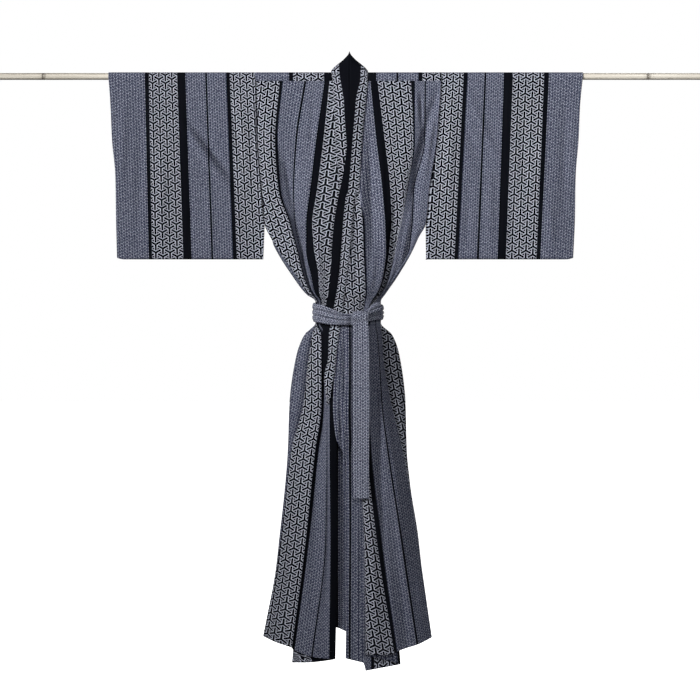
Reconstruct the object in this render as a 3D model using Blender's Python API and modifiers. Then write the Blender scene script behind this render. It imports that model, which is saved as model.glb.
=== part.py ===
"""A cotton yukata hanging flat by its sleeves on a bamboo rod, tied at the waist with its own cloth belt.

The garment is cut from one narrow bolt: two sleeves, two backs, two fronts, two front overlaps, a collar band
and the belt. Every piece is a cloth wall lofted through horizontal sections. Sizes in the tables are
millimetres from the middle of the rod's axis: x to the right, y to the back, z up.
"""
import bpy
import numpy as np

MM = 0.001
WALL = 1.6  # thickness of every cloth wall
GAP = 0.3  # clearance between neighbouring pieces
LAP = WALL + GAP  # spacing of the middle surfaces of two lapped edges
FLAT_EDGE = LAP / 2  # distance of a side seam's two edges from the middle plane
COLLAR_LAP = 2.3  # the collar band stands this far in front of the edges it is sewn to
NECK_LAP = 2.6  # and this far outside the backs where it passes over the rod

ROD_RADIUS = 8.5
ROD_LENGTH = 1820.0
ROD_SIDES = 14
ROD_NODES = (-764.0, -466.0, -165.0, 140.0, 445.0, 747.0)  # rings of the bamboo
NODE_HEIGHT = 0.4
NODE_HALF = 3.5
CLOTH_RADIUS = 10.2  # middle surface of the cloth where it lies over the rod
SHOULDER_SEAM_Z = -12.0  # the fronts are sewn to the backs just below the rod

# One row per horizontal section of the body.
#   z, depth of the front, depth of the back, outline left and right, depth at the side edges
BODY = (
    (0, 10.2, 10.2, -236, 230, 10.2),
    (-159, 15, 14, -231, 218, 8.4),
    (-285, 21, 18, -221, 199, 7.0),
    (-371, 26, 22, -212, 190, 6.0),
    (-400, 28.3, 24.4, -199.5, 175, 3.0),
    (-434, 31, 27, -183, 160, FLAT_EDGE),
    (-496, 38, 34, -144, 124, FLAT_EDGE),
    (-545, 44, 40, -107, 90, FLAT_EDGE),
    (-561, 45, 40, -86.5, 79.5, FLAT_EDGE),
    (-618, 45, 40, -86.5, 79.5, FLAT_EDGE),
    (-645, 47, 44, -112, 106, FLAT_EDGE),
    (-700, 50, 50, -133, 125, FLAT_EDGE),
    (-821, 55, 58, -150, 140, FLAT_EDGE),
    (-930, 58, 63, -154, 143, FLAT_EDGE),
    (-1159, 67, 75, -176, 174, FLAT_EDGE),
    (-1430, 78, 90, -217, 207, FLAT_EDGE),
)
FLAT_TOP_Z = -371  # above this level the body hangs flat between the sleeves
ROUND_BELOW_Z = -500  # below this level its sections are rounded
SECTION_POWERS = (0.6, 1.0)  # fullness of the rounded and of the flat sections
HEM_Z = -1430  # mean height of the hems
HEM_START = -1235  # the panels' rows spread towards their own hems from here down
BODY_LEVELS = (
    -12.15, -60, -110, -159, -210, -255, -300, -340, -371, -400, -434, -465, -496, -522, -545, -561, -590,
    -618, -630, -645, -668, -700, -740, -785, -835, -890, -950, -1030, -1110, -1190, -1270, -1350, -1430,
)
BACK_LEVELS = (
    -12, -60, -110, -159, -210, -255, -300, -340, -371, -400, -434, -465, -496, -522, -545, -561, -590,
    -618, -630, -645, -668, -700, -760, -835, -930, -1040, -1160, -1235, -1330, -1430,
)

# Lines of cloth across each panel, and the cloth's width in samples between one line and the next.
LEFT_LINES = (("side", 1), ("kikko_middle", 2), ("kikko_end", 2), ("tuck", 2), ("thin_line", 2),
              ("grey", 2), ("black", 2), ("fold", 3), ("turned", 2), ("seam", 0))
# x of each line: z, side, kikko_middle, kikko_end, tuck, thin_line, grey, black, fold, turned, seam
LEFT_X = (
    (-12, -236, -208, -178, -159, -110, -84, -62, -50, -45, -41),
    (-159, -231, -209, -186, -171, -133, -106, -83, -65, -50, -35),
    (-285, -221, -198, -177, -168, -140, -120, -98, -81, -53, -24),
    (-371, -212, -181, -148, -145, -136, -123, -108, -93, -58, -16),
    (-400, -198.5, -168, -141, -138, -131, -120, -108, -91, -59, -13),
    (-434, -177, -152, -131, -128, -124, -116, -108, -88, -60, -11),
    (-496, -134, -121, -110, -107, -103, -99, -95, -78, -61, -11),
    (-545, -103, -95, -88, -86, -83, -80, -78, -75, -62, -17),
    (-561, -85, -83.5, -82, -80, -77, -74.5, -72.5, -69, -60, -22),
    (-618, -85, -83.5, -82, -80, -77.5, -75.5, -73.8, -71, -63, -36),
    (-645, -93, -82, -71, -68.5, -65, -61.5, -58.5, -53.5, -50, -45),
    (-700, -102, -86, -70, -66, -61.5, -58.5, -55, -49, -50, -52),
    (-821, -116, -92, -70, -64, -56, -53, -49, -40, -51, -64),
    (-930, -144, -115, -85, -76, -56, -53, -49, -31.5, -57, -82),
    (-1159, -172, -141, -109, -101, -59, -53, -47, -30, -73, -116),
    (-1430, -216, -181, -143, -140, -93, -71, -50, -35, -91, -143),
)
# how far each line lies inside the front's outline, same columns
LEFT_IN = (
    (-12, 0, 0, 0, 0, 0, 0, 0, 0, 0, 0),
    (-159, 0, 0, 0, 2, 0, 1, 0, 0, 1, 2),
    (-285, 0, 0, 0, 7, 0, 3, 0, 0, 3, 6),
    (-371, 0, 0, 0, 12, 2, 3, 1, 0, 5, 8),
    (-434, 0, 0, 1, 14, 4, 3, 1, 0, 5, 9),
    (-496, 0, 0, 2, 20, 8, 3, 0, 0, 5, 9),
    (-545, 0, 1, 4, 13, 18, 13, 5, 1, 6, 10),
    (-561, 0, 1, 4, 12, 17, 12, 5, 2, 8, 12),
    (-618, 0, 1, 4, 12, 17, 12, 5, 2, 8, 12),
    (-645, 0, 0, 3, 13, 17, 11, 4, 4, 9, 13),
    (-700, 0, 0, 1, 11, 4, 5, 1, 5, 9, 14),
    (-821, 0, 0, 0, 8, 1, 3, 0, 4, 10, 15),
    (-930, 0, 0, 0, 7, 1, 3, 0, 5, 12, 16),
    (-1159, 0, 0, 0, 6, 1, 4, 0, 5, 13, 17),
    (-1430, 0, 0, 0, 6, 1, 5, 0, 6, 15, 20),
)
LEFT_HEM = (-1399, -1411, -1422, -1427, -1443, -1446, -1447, -1448, -1458, -1461)

RIGHT_LINES = (("seam", 2), ("grey", 2), ("black", 2), ("kikko", 2), ("kikko_middle", 2), ("kikko_end", 2),
               ("black_end", 2), ("grey_2", 2), ("thin_line", 2), ("grey_3", 1), ("side", 0))
# x: z, seam, grey, black, kikko, kikko_middle, kikko_end, black_end, grey_2, thin_line, grey_3, side
RIGHT_X = (
    (-12, 46, 49, 54, 72, 110, 149, 161, 174, 189, 211, 230),
    (-159, 32, 49, 65, 85, 115, 146, 152, 166, 188, 204, 218),
    (-285, 25, 44, 70, 94, 109, 127, 133, 142, 160, 182, 199),
    (-371, 33, 61, 88, 104, 109, 115, 119, 131, 156, 172, 190),
    (-400, 34, 61, 90, 101, 105, 110, 113, 125, 153, 164, 174),
    (-434, 35, 62, 92, 98, 101.5, 105, 108, 119, 149, 154, 158),
    (-496, 38, 62, 84, 89, 92.5, 96, 99, 104, 112, 117, 122),
    (-545, 40, 57, 67, 70.5, 73.5, 76.5, 79, 81, 83.5, 86, 88),
    (-561, 38, 49, 55, 58, 61, 64, 67, 70, 73, 75.5, 78),
    (-618, 33, 34, 35, 37, 41, 46, 51, 57, 65, 71, 78),
    (-645, 38, 34, 29, 27, 33, 40, 45, 55, 69, 75, 81),
    (-700, 44, 33, 20, 17, 25, 34, 42, 55, 74, 79, 84),
    (-821, 61, 46, 24, 21, 30, 39, 48, 64, 81, 94, 105),
    (-930, 77, 56, 28, 26, 35, 44, 54, 73, 95, 113, 132),
    (-1159, 101, 71, 38, 37, 52, 68, 80, 102, 130, 151, 171),
    (-1430, 127, 82, 42, 41, 76, 111, 118, 141, 169, 188, 206),
)
RIGHT_IN = (
    (-12, 0, 0, 0, 0, 0, 0, 0, 0, 0, 0, 0),
    (-159, -1, 0, 0, 0, 0, 0, 1, 0, 0, 2, 0),
    (-285, -1, 3, 0, 1, 4, 0, 2, 0, 0, 3, 0),
    (-371, -1, 5, 0, 4, 12, 4, 1, 0, 0, 2, 0),
    (-434, -1, 5, 0, 6, 16, 8, 2, 0, 0, 2, 0),
    (-496, -1, 4, 0, 7, 23, 20, 5, 0, 1, 1, 0),
    (-545, -1, 2, 0, 7, 26, 24, 7, 2, 4, 1, 0),
    (-561, 5, 3, 2, 6, 20, 18, 6, 3, 5, 2, 0),
    (-618, 10, 7, 4, 2, 5, 9, 4, 4, 3, 2, 0),
    (-645, 12, 10, 7, 3, 0, 5, 2, 5, 2, 3, 0),
    (-700, 12, 11, 9, 4.5, 0, 4, 1, 5, 0, 3, 0),
    (-821, 13, 12, 9, 4.5, 0, 4, 0, 5, 0, 3, 0),
    (-930, 14, 12, 9.5, 5, 0, 4, 0, 5, 0, 3, 0),
    (-1159, 15, 13, 10, 5, 0, 3, 0, 5, 0, 4, 0),
    (-1430, 18, 15, 11, 5, 0, 3, 1, 6, 0, 5, 0),
)
RIGHT_HEM = (-1463, -1450, -1440, -1437, -1438, -1436, -1431, -1424, -1416, -1409, -1402)

# The overlaps are sewn behind the fronts' inner edges; their tips start below the neck.
TIP_CLEAR = 12
OVERLAP_LINES = (("seam", 2), ("inner", 2), ("outer", 2), ("free", 0))
# x, then depth inside the front's seam: z, seam, inner, outer, free | seam, inner, outer, free
OVERLAP_LEFT = (
    (-300, -22, -20, -18.5, -17, 2.4, 2.4, 2.4, 2.4),
    (-371, -16, -12, -9, -5, 2.4, 2.5, 2.5, 2.5),
    (-434, -11, -7, -2, 2, 2.4, 2.5, 2.5, 2.5),
    (-496, -11, -6, 1, 9, 2.4, 2.5, 2.5, 2.5),
    (-545, -17, -11, -3, 6, 2.4, 2.5, 2.5, 2.5),
    (-561, -22, -17, -9, 0, 2.4, 2.5, 2.5, 2.5),
    (-618, -36, -28, -18, -7, 2.4, 3, 4, 4),
    (-645, -45, -37, -24, -10, 2.4, 4, 6, 6),
    (-700, -52, -40, -24, -10, 2.4, 5, 7, 7),
    (-821, -64, -46, -24, -5, 2.4, 5, 7, 7),
    (-930, -82, -55, -26, -1, 2.4, 6, 8, 8),
    (-1159, -116, -74, -34, 6, 2.4, 7, 10, 12),
    (-1430, -143, -99, -46, 6, 2.4, 8, 12, 15),
)
OVERLAP_LEFT_HEM = (-1460, -1418, -1371, -1388)
OVERLAP_RIGHT = (
    (-292, 25.0, 21.5, 18, 14.5, 2.0, 2.0, 2.0, 2.0),
    (-371, 33, 25, 17, 8, 2.0, 2, 2, 2),
    (-434, 35, 24, 12, 1, 2.0, 2, 2, 2),
    (-496, 38, 24, 9, -6, 2.0, 2, 2, 2),
    (-545, 40, 24, 6, -12, 2.0, 2, 1, 1),
    (-561, 38, 22, 5, -14, 2.0, 2, 2, 1.5),
    (-618, 33, 20, 2, -20, 2.4, 1, -2, -4),
    (-645, 38, 27, 2, -26, 2.4, 3, -4, -9),
    (-700, 44, 32, 2, -33, 2.4, 3, -4, -11),
    (-821, 61, 38, 2, -41, 2.4, 3, -5, -13),
    (-900, 73, 42, 4, -34, 2.4, 2, -5, -13),
    (-960, 80, 44, 12, -8, 2.4, 0, -3, -4),
    (-1159, 101, 46, 16, -6, 2.4, 0, -3, -4),
    (-1430, 127, 40, 16, -10, 2.4, 0, -3, -5),
)
OVERLAP_RIGHT_HEM = (-1465, -1478, -1453, -1447)

# Inner edge of the collar band down each front: z, x, depth in front of the panel under it.
COLLAR_LEFT_INNER = (
    (-12, -1, 4), (-74, -1, 4), (-149, 4, 2), (-234, 14, 0), (-309, 26, 0), (-371, 36, 0), (-434, 42, 0),
    (-496, 46, 0), (-545, 42, 0), (-561, 34, 0), (-618, 26, -1), (-645, 20, -2), (-700, 18, -2), (-800,
                                                                                                  15, -2),
)
COLLAR_RIGHT_INNER = (
    (-12, 1, 4), (-74, 1, 6), (-149, -4, 7), (-234, -14, 6), (-309, -29, 6), (-371, -39, 5), (-434, -44, 5),
    (-496, -47, 4), (-545, -53, 2), (-561, -57, 1), (-618, -64, 2), (-645, -68, 3), (-700, -68, 4),
    (-734, -66, 4), (-819, -60, 3),
)
COLLAR_SHARES = (0, 0.25, 0.5, 0.75, 1.0)  # lines along the band, from its sewn edge to its fold
COLLAR_LEFT_LEVELS = (
    -800, -760, -700, -668, -645, -618, -590, -561, -545, -522, -496, -434, -400, -371, -340, -300, -255, -210,
    -159, -110, -60, -12,
)
COLLAR_RIGHT_LEVELS = (-819, -785) + COLLAR_LEFT_LEVELS[1:]
# The band round the neck, from the front of the shoulder to the middle of the back:
#   seam edge x, its turn round the rod in degrees, its height below that turn, upper edge x, y, z
NECK = (
    (44, 0, 0, 1.0, -13.0, 14),
    (45, 30, 0, 1.0, -11.5, 24),
    (46, 60, 0, 1.0, -9.5, 33),
    (46, 90, 0, 1.0, -7.5, 40),
    (45, 120, 0, 1.0, -5.5, 46),
    (42, 150, 0, 1.0, -3.5, 51),
    (34, 180, 1, 1.3, -1.5, 56),
    (17, 180, 3, 1.9, 0.5, 60),
    (0, 180, 3.5, 0.0, 3.0, 63),
)

# Lines across each back, from the centre seam outwards, as a share of the outline's half width.
BACK_SHARES = (0.0, 0.09, 0.14, 0.18, 0.23, 0.30, 0.38, 0.44, 0.50, 0.57, 0.63, 0.69, 0.75, 0.82, 0.90)
# Pleats drawn in by the belt: share, half width as a share, depth, height of its deepest place, reach up
# and down
BACK_PLEATS = (
    (0.18, 0.075, 13, -590, 260, 520),
    (0.44, 0.085, 17, -595, 330, 640),
    (0.69, 0.080, 14, -585, 240, 470),
    (0.88, 0.070, 4, -600, 170, 330),
)
BACK_HEM_MIDDLE = -1378
BACK_HEM_SIDE = -1400
TOP_STEPS = (0, 11.9, 17.3, 22.7, 28, 33.4, 38.8, 44.2, 47)  # lengths along the cloth over the rod
NECK_COLUMNS = 3  # columns of cloth cut away between the rod's front and the neck edge
OVER_TOP = np.pi * CLOTH_RADIUS  # length of cloth over the top half of the rod
# The backs wrap forward to their side seams: the last share before the seam, the wrap at which it reaches the
# outline, how far it stands off the seam and its rise with the wrap.
WRAP_SHARE = 0.975
WRAP_FULL = 4.0
WRAP_STAND = 5.5
WRAP_RISE = 0.8

# Sleeves: outer (cuff) edge and inner (armhole) edge, z then x on the left and on the right.
CUFF = (
    (0, -602, 583), (-69, -597, 576), (-159, -593, 572), (-249, -585, 565), (-339, -584, 564), (-458, -581, 559),
)
ARMHOLE_LOW = ((-371, -212, 190), (-458, -215.5, 191))  # the sleeves' inner edges below the armholes
SLEEVE_DROP = 457.0
SLEEVE_LEVELS = (-12, -60, -110, -159, -210, -255, -300, -340, -371, -410, -440)
SLEEVE_STATIONS = (0.0, 0.06, 0.14, 0.24, 0.36, 0.50, 0.66, 0.82, 0.93, 1.0)
CUFF_OPENING = 235.0  # below this the outer edges are sewn together
SLEEVE_HALF_LOW = 6.0  # half thickness of a sleeve at the bottom of the armhole
SEWN_HALF = 1.7  # and at the sewn part of its cuff
SEWN_FROM = 0.84  # share from which the sleeve narrows towards the sewn cuff
SEWN_REACH = 60.0  # height over which it does so
CORNER_RISE = 14.0  # rise of the rounded lower corner of the cuff
CORNER_FROM = 0.9
ROD_ARC = (180, 150, 120, 90, 60, 30, 0)  # turns over the rod, from the front to the back
LOW_ARC = (-30, -90, -150)  # turns round the lower edge
# soft folds of a sleeve: share from armhole to cuff, half width, lift of the front, of the back, top, bottom
SLEEVE_FOLDS = (
    (0.10, 0.06, 2.6, -2.0, 0, -330),
    (0.36, 0.09, -1.6, 1.8, -40, -260),
    (0.70, 0.10, 1.8, 1.4, -120, -457),
)

# Belt: turn round the waist in degrees (0 = right, 90 = back), top z, bottom z.
BELT = (
    (0, -571, -607), (40, -568, -611), (90, -567, -612), (140, -566, -612), (180, -566, -612.5),
    (215, -570, -616), (245, -581, -621), (262, -592, -622), (280, -596, -621), (300, -588, -613),
    (330, -578, -608), (360, -571, -607),
)
BELT_STAND = 3.3  # middle surface of the belt outside the cloth
BELT_WALL = 2.0
BELT_RIDGE = 0.7
BELT_AROUND = 40
BELT_RIDGES = 3
BELT_ROUNDNESS = 0.85  # below 1 the waist is a little squarer than an ellipse
KNOT_CENTRE = (27.0, -56.4, -601.0)
KNOT_HALF = (21.5, 7.0, 13.0)
KNOT_RIDGE = 1.1
KNOT_RINGS = 10
KNOT_AROUND = 20
KNOT_PLEATS = 5
KNOT_TWIST = 2.2  # how far the pleats turn from one end of the knot to the other
KNOT_FULLNESS = 0.6
# The belt's short end, turned up over the band beside the knot: x, y, z, half width, lean forward
SHORT_END = (
    (44.0, -53.6, -588.4, 3.5, 0.5), (52, -55.6, -585.0, 7.0, 1.5), (60, -55.6, -580.0, 9.5, 2.5),
    (70, -52.5, -576.0, 10.5, 3.0), (78.5, -47.5, -573.5, 8.5, 2.5),
)
SHORT_END_FOLD = 1.2  # height of the fold along its middle
SHORT_END_SLANT = 0.3
SHORT_END_ACROSS = (-1.0, -0.5, 0.0, 0.5, 1.0)
# The long end of the belt: z, x left, x right, y
TAIL = (
    (-614.6, 14, 40, -56.6), (-640, 8, 47, -59.5), (-700, 8, 49, -58.5), (-800, 8, 49.5, -60.5),
    (-900, 8, 49, -63.5), (-980, 8.5, 48.5, -66.0), (-1052, 9, 48.5, -68.0),
)
TAIL_LINES = 9
TAIL_PLEAT = 0.8

SLOTS = {
    "cloth": (0.105, 0.118, 0.155, 0.95),
    "collar_cloth": (0.060, 0.066, 0.085, 0.95),
    "belt_cloth": (0.100, 0.112, 0.150, 0.95),
    "bamboo": (0.470, 0.430, 0.370, 0.55),
}

for item in list(bpy.data.objects):
    bpy.data.objects.remove(item, do_unlink=True)

PART = bpy.data.collections.new("yukata_on_rod")
bpy.context.scene.collection.children.link(PART)


def table(rows, z):
    """Columns of a table at height z (or at any first-column value), by a smooth curve without overshoot."""
    rows = np.array(rows, dtype=float)
    if rows[0, 0] > rows[-1, 0]:
        rows = rows[::-1]
    at, values = rows[:, 0], rows[:, 1:]
    z = np.clip(np.atleast_1d(np.asarray(z, dtype=float)), at[0], at[-1])
    step = np.diff(at)[:, None]
    slope = np.diff(values, axis=0) / step
    tangent = np.zeros_like(values)
    same = slope[:-1] * slope[1:] > 0
    w1 = 2 * step[1:] + step[:-1]
    w2 = step[1:] + 2 * step[:-1]
    safe0 = np.where(same, slope[:-1], 1.0)
    safe1 = np.where(same, slope[1:], 1.0)
    tangent[1:-1] = np.where(same, (w1 + w2) / (w1 / safe0 + w2 / safe1), 0.0)
    tangent[0] = slope[0]
    tangent[-1] = slope[-1]
    k = np.clip(np.searchsorted(at, z, side="right") - 1, 0, len(at) - 2)
    h = step[k]
    t = (z - at[k])[:, None] / h
    return ((2 * t**3 - 3 * t**2 + 1) * values[k] + (t**3 - 2 * t**2 + t) * h * tangent[k]
            + (3 * t**2 - 2 * t**3) * values[k + 1] + (t**3 - t**2) * h * tangent[k + 1])


def bump(t):
    """A soft hump: 1 at t = 0, 0 beyond t = 1."""
    t = np.clip(np.abs(t), 0.0, 1.0)
    return (1 - t * t) ** 2


def section_curve(points, counts):
    """A smooth curve through the points of one section, with so many samples in each span."""
    points = np.asarray(points, dtype=float)
    first = 2 * points[0] - points[1]
    last = 2 * points[-1] - points[-2]
    p = np.vstack([first, points, last])
    out = []
    for i, count in enumerate(counts):
        a, b, c, d = p[i], p[i + 1], p[i + 2], p[i + 3]
        ka = max(np.linalg.norm(b - a), 1e-6) ** 0.5
        kb = max(np.linalg.norm(c - b), 1e-6) ** 0.5
        kc = max(np.linalg.norm(d - c), 1e-6) ** 0.5
        m1 = kb * ((b - a) / ka - (c - a) / (ka + kb) + (c - b) / kb)
        m2 = kb * ((c - b) / kb - (d - b) / (kb + kc) + (d - c) / kc)
        for j in range(count):
            t = j / count
            out.append((2 * t**3 - 3 * t**2 + 1) * b + (t**3 - 2 * t**2 + t) * m1
                       + (3 * t**2 - 2 * t**3) * c + (t**3 - t**2) * m2)
    out.append(points[-1])
    return np.array(out)


def side_x(side, z):
    """x of the fronts' outer edges: along the armholes above, along the side seams below."""
    if z >= FLAT_TOP_Z:
        return table(BODY, z)[0][2 if side == "left" else 3]
    return table(LEFT_X, z)[0][0] if side == "left" else table(RIGHT_X, z)[0][-1]


def front_depth(x, z):
    """Distance of the front's outline in front of the rod's axis, at x and height z."""
    depth, _, _, _, edge = table(BODY, z)[0]
    left, right = side_x("left", z), side_x("right", z)
    t = np.clip((x - (left + right) / 2) / ((right - left) / 2), -1, 1)
    power = np.interp(z, (ROUND_BELOW_Z, FLAT_TOP_Z), SECTION_POWERS)
    return edge + (depth - edge) * (1 - t * t) ** power


def front_point(x, inside, z):
    """Middle surface of the front at x, so far inside the outline."""
    return np.array((x, inside - front_depth(x, z), z))


def to_hem(z, hem):
    """Height of one line of cloth, so that a panel's lower rows follow its own hem."""
    if z > HEM_START:
        return z
    return HEM_START + (z - HEM_START) * (hem - HEM_START) / (HEM_Z - HEM_START)


def panel_points(side, x_rows, in_rows, hems, lines):
    """Grid of one front: a row of points per level."""
    counts = [n for _, n in lines[:-1]]
    side_column = 0 if side == "left" else -1
    grid = []
    for z in BODY_LEVELS:
        xs = table(x_rows, z)[0]
        xs[side_column] = side_x(side, z)
        inside = table(in_rows, z)[0]
        points = [front_point(x, d, z) for x, d in zip(xs, inside)]
        for point, hem in zip(points, hems):
            point[2] = to_hem(z, hem)
        grid.append(section_curve(points, counts))
    return np.array(grid)


def overlap_points(rows, hems, seam_rows, seam_column):
    """Grid of one overlap, lapped behind the edge of its front."""
    counts = [n for _, n in OVERLAP_LINES[:-1]]
    grid = []
    tip = rows[0][0]
    for z in (tip,) + tuple(level for level in BODY_LEVELS if level < tip - TIP_CLEAR):
        values = table(rows, z)[0]
        base = table(seam_rows, z)[0][seam_column]
        points = [front_point(x, base + extra, z) for x, extra in zip(values[:4], values[4:])]
        for point, hem in zip(points, hems):
            point[2] = to_hem(z, hem)
        grid.append(section_curve(points, counts))
    return np.array(grid)


def add_mesh(name, points, faces):
    """A mesh object at the origin, from points in millimetres."""
    mesh = bpy.data.meshes.new(name)
    mesh.from_pydata([tuple(p * MM) for p in points], [], faces)
    mesh.update()
    item = bpy.data.objects.new(name, mesh)
    PART.objects.link(item)
    return item


def cloth(name, grid, slot, closed=False, wall=WALL, cut_rows=0, cut_columns=0):
    """A cloth wall on a grid of middle-surface points; closed joins the last column to the first.

    The first cut_columns columns are left out of the first cut_rows rows.
    """
    rows, columns = grid.shape[:2]
    faces = []
    last = columns if closed else columns - 1
    for i in range(rows - 1):
        for j in range(last):
            if i < cut_rows and j < cut_columns:
                continue
            k = (j + 1) % columns
            faces.append((i * columns + j, i * columns + k, (i + 1) * columns + k, (i + 1) * columns + j))
    used = sorted({index for face in faces for index in face})
    place = {index: at for at, index in enumerate(used)}
    points = grid.reshape(-1, 3)[used]
    item = add_mesh(name, points, [tuple(place[index] for index in face) for face in faces])
    thick = item.modifiers.new("wall", "SOLIDIFY")
    thick.thickness = wall * MM
    thick.offset = 0.0
    thick.use_even_offset = True
    thick.use_quality_normals = True
    item.data.materials.append(MATERIALS[slot])
    return item


MATERIALS = {}
for slot_name, (red, green, blue, rough) in SLOTS.items():
    material = bpy.data.materials.new(slot_name)
    material.use_nodes = True
    shader = material.node_tree.nodes["Principled BSDF"]
    shader.inputs["Base Color"].default_value = (red, green, blue, 1.0)
    shader.inputs["Roughness"].default_value = rough
    MATERIALS[slot_name] = material


# Rod: a bamboo pole with low rings at its nodes, turned about its own axis.
profile = [(-ROD_LENGTH / 2, 0.0), (-ROD_LENGTH / 2, ROD_RADIUS)]
for node_x in ROD_NODES:
    profile.append((node_x - NODE_HALF, ROD_RADIUS))
    profile.append((node_x, ROD_RADIUS + NODE_HEIGHT))
    profile.append((node_x + NODE_HALF, ROD_RADIUS))
profile.extend([(ROD_LENGTH / 2, ROD_RADIUS), (ROD_LENGTH / 2, 0.0)])
rod_points = [np.array((profile[0][0], 0.0, 0.0))]
for px, radius in profile[1:-1]:
    for side in range(ROD_SIDES):
        turn = 2 * np.pi * side / ROD_SIDES
        rod_points.append(np.array((px, radius * np.cos(turn), radius * np.sin(turn))))
rod_points.append(np.array((profile[-1][0], 0.0, 0.0)))
rings = len(profile) - 2
rod_faces = [(0, 1 + (s + 1) % ROD_SIDES, 1 + s) for s in range(ROD_SIDES)]
for ring in range(rings - 1):
    for s in range(ROD_SIDES):
        a = 1 + ring * ROD_SIDES + s
        b = 1 + ring * ROD_SIDES + (s + 1) % ROD_SIDES
        rod_faces.append((a, b, b + ROD_SIDES, a + ROD_SIDES))
end = len(rod_points) - 1
start = 1 + (rings - 1) * ROD_SIDES
rod_faces.extend((end, start + s, start + (s + 1) % ROD_SIDES) for s in range(ROD_SIDES))
rod = add_mesh("rod", rod_points, rod_faces)
rod.data.materials.append(MATERIALS["bamboo"])

# Fronts: each runs from the side seam to its overlap, folded back on itself in the skirt.
cloth("front_left", panel_points("left", LEFT_X, LEFT_IN, LEFT_HEM, LEFT_LINES), "cloth")
cloth("front_right", panel_points("right", RIGHT_X, RIGHT_IN, RIGHT_HEM, RIGHT_LINES), "cloth")

# Overlaps: narrow panels sewn to the fronts' inner edges.
cloth("overlap_left", overlap_points(OVERLAP_LEFT, OVERLAP_LEFT_HEM, LEFT_IN, -1), "cloth")
cloth("overlap_right", overlap_points(OVERLAP_RIGHT, OVERLAP_RIGHT_HEM, RIGHT_IN, 0), "cloth")


def back_depth(share, z):
    """Depth of the back behind the rod's axis at a share of the half width."""
    _, depth, _, _, edge = table(BODY, z)[0]
    power = np.interp(z, (ROUND_BELOW_Z, FLAT_TOP_Z), SECTION_POWERS)
    y = edge + (depth - edge) * (1 - share * share) ** power
    for at, half, deep, middle, up, down in BACK_PLEATS:
        reach = up if z > middle else down
        y -= deep * bump((share - at) / half) * bump((z - middle) / reach)
    return y


def over_rod(x, length):
    """A point of the backs' cloth, at a length measured from the shoulder seam over the rod."""
    drop = -SHOULDER_SEAM_Z - GAP / 2
    if length < drop:
        return np.array((x, -CLOTH_RADIUS, length - drop))
    if length < drop + OVER_TOP:
        turn = (length - drop) / CLOTH_RADIUS
        return np.array((x, -CLOTH_RADIUS * np.cos(turn), CLOTH_RADIUS * np.sin(turn)))
    return np.array((x, CLOTH_RADIUS, drop + OVER_TOP - length))


def back_points(side):
    """Grid of one back: over the rod from the shoulder seam, then down to the hem."""
    sign = -1 if side == "left" else 1
    shares = BACK_SHARES + (WRAP_SHARE, 1.0)
    grid = []
    for step in TOP_STEPS:
        half_width = abs(side_x(side, min(over_rod(0, step)[2], 0)))
        grid.append(np.array([over_rod(sign * max(half_width * share, GAP / 2), step) for share in shares]))
    for z in BACK_LEVELS:
        values = table(BODY, z)[0]
        outline = abs(values[2] if sign < 0 else values[3])
        seam = abs(side_x(side, z))
        wrap = max(outline - seam, 0.0) if z < FLAT_TOP_Z else 0.0
        edge = values[4]
        points = [np.array((max(outline * share, GAP / 2), back_depth(share, z), z)) for share in BACK_SHARES]
        out_x = outline * (WRAP_SHARE + (1 - WRAP_SHARE) * min(wrap / WRAP_FULL, 1.0))
        points.append(np.array((out_x, edge + min(WRAP_STAND, WRAP_RISE * wrap), z)))
        points.append(np.array((seam if wrap > 0 else outline, edge, z)))
        for point in points:
            share = min(point[0] / outline, 1.0)
            hem = BACK_HEM_MIDDLE + (BACK_HEM_SIDE - BACK_HEM_MIDDLE) * share * share
            point[0] *= sign
            point[2] = to_hem(z, hem)
        grid.append(np.array(points))
    return np.array(grid)


# Backs: two panels with a centre seam.
for side in ("left", "right"):
    cloth("back_" + side, back_points(side), "cloth", cut_rows=len(TOP_STEPS) - 1, cut_columns=NECK_COLUMNS)


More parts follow.
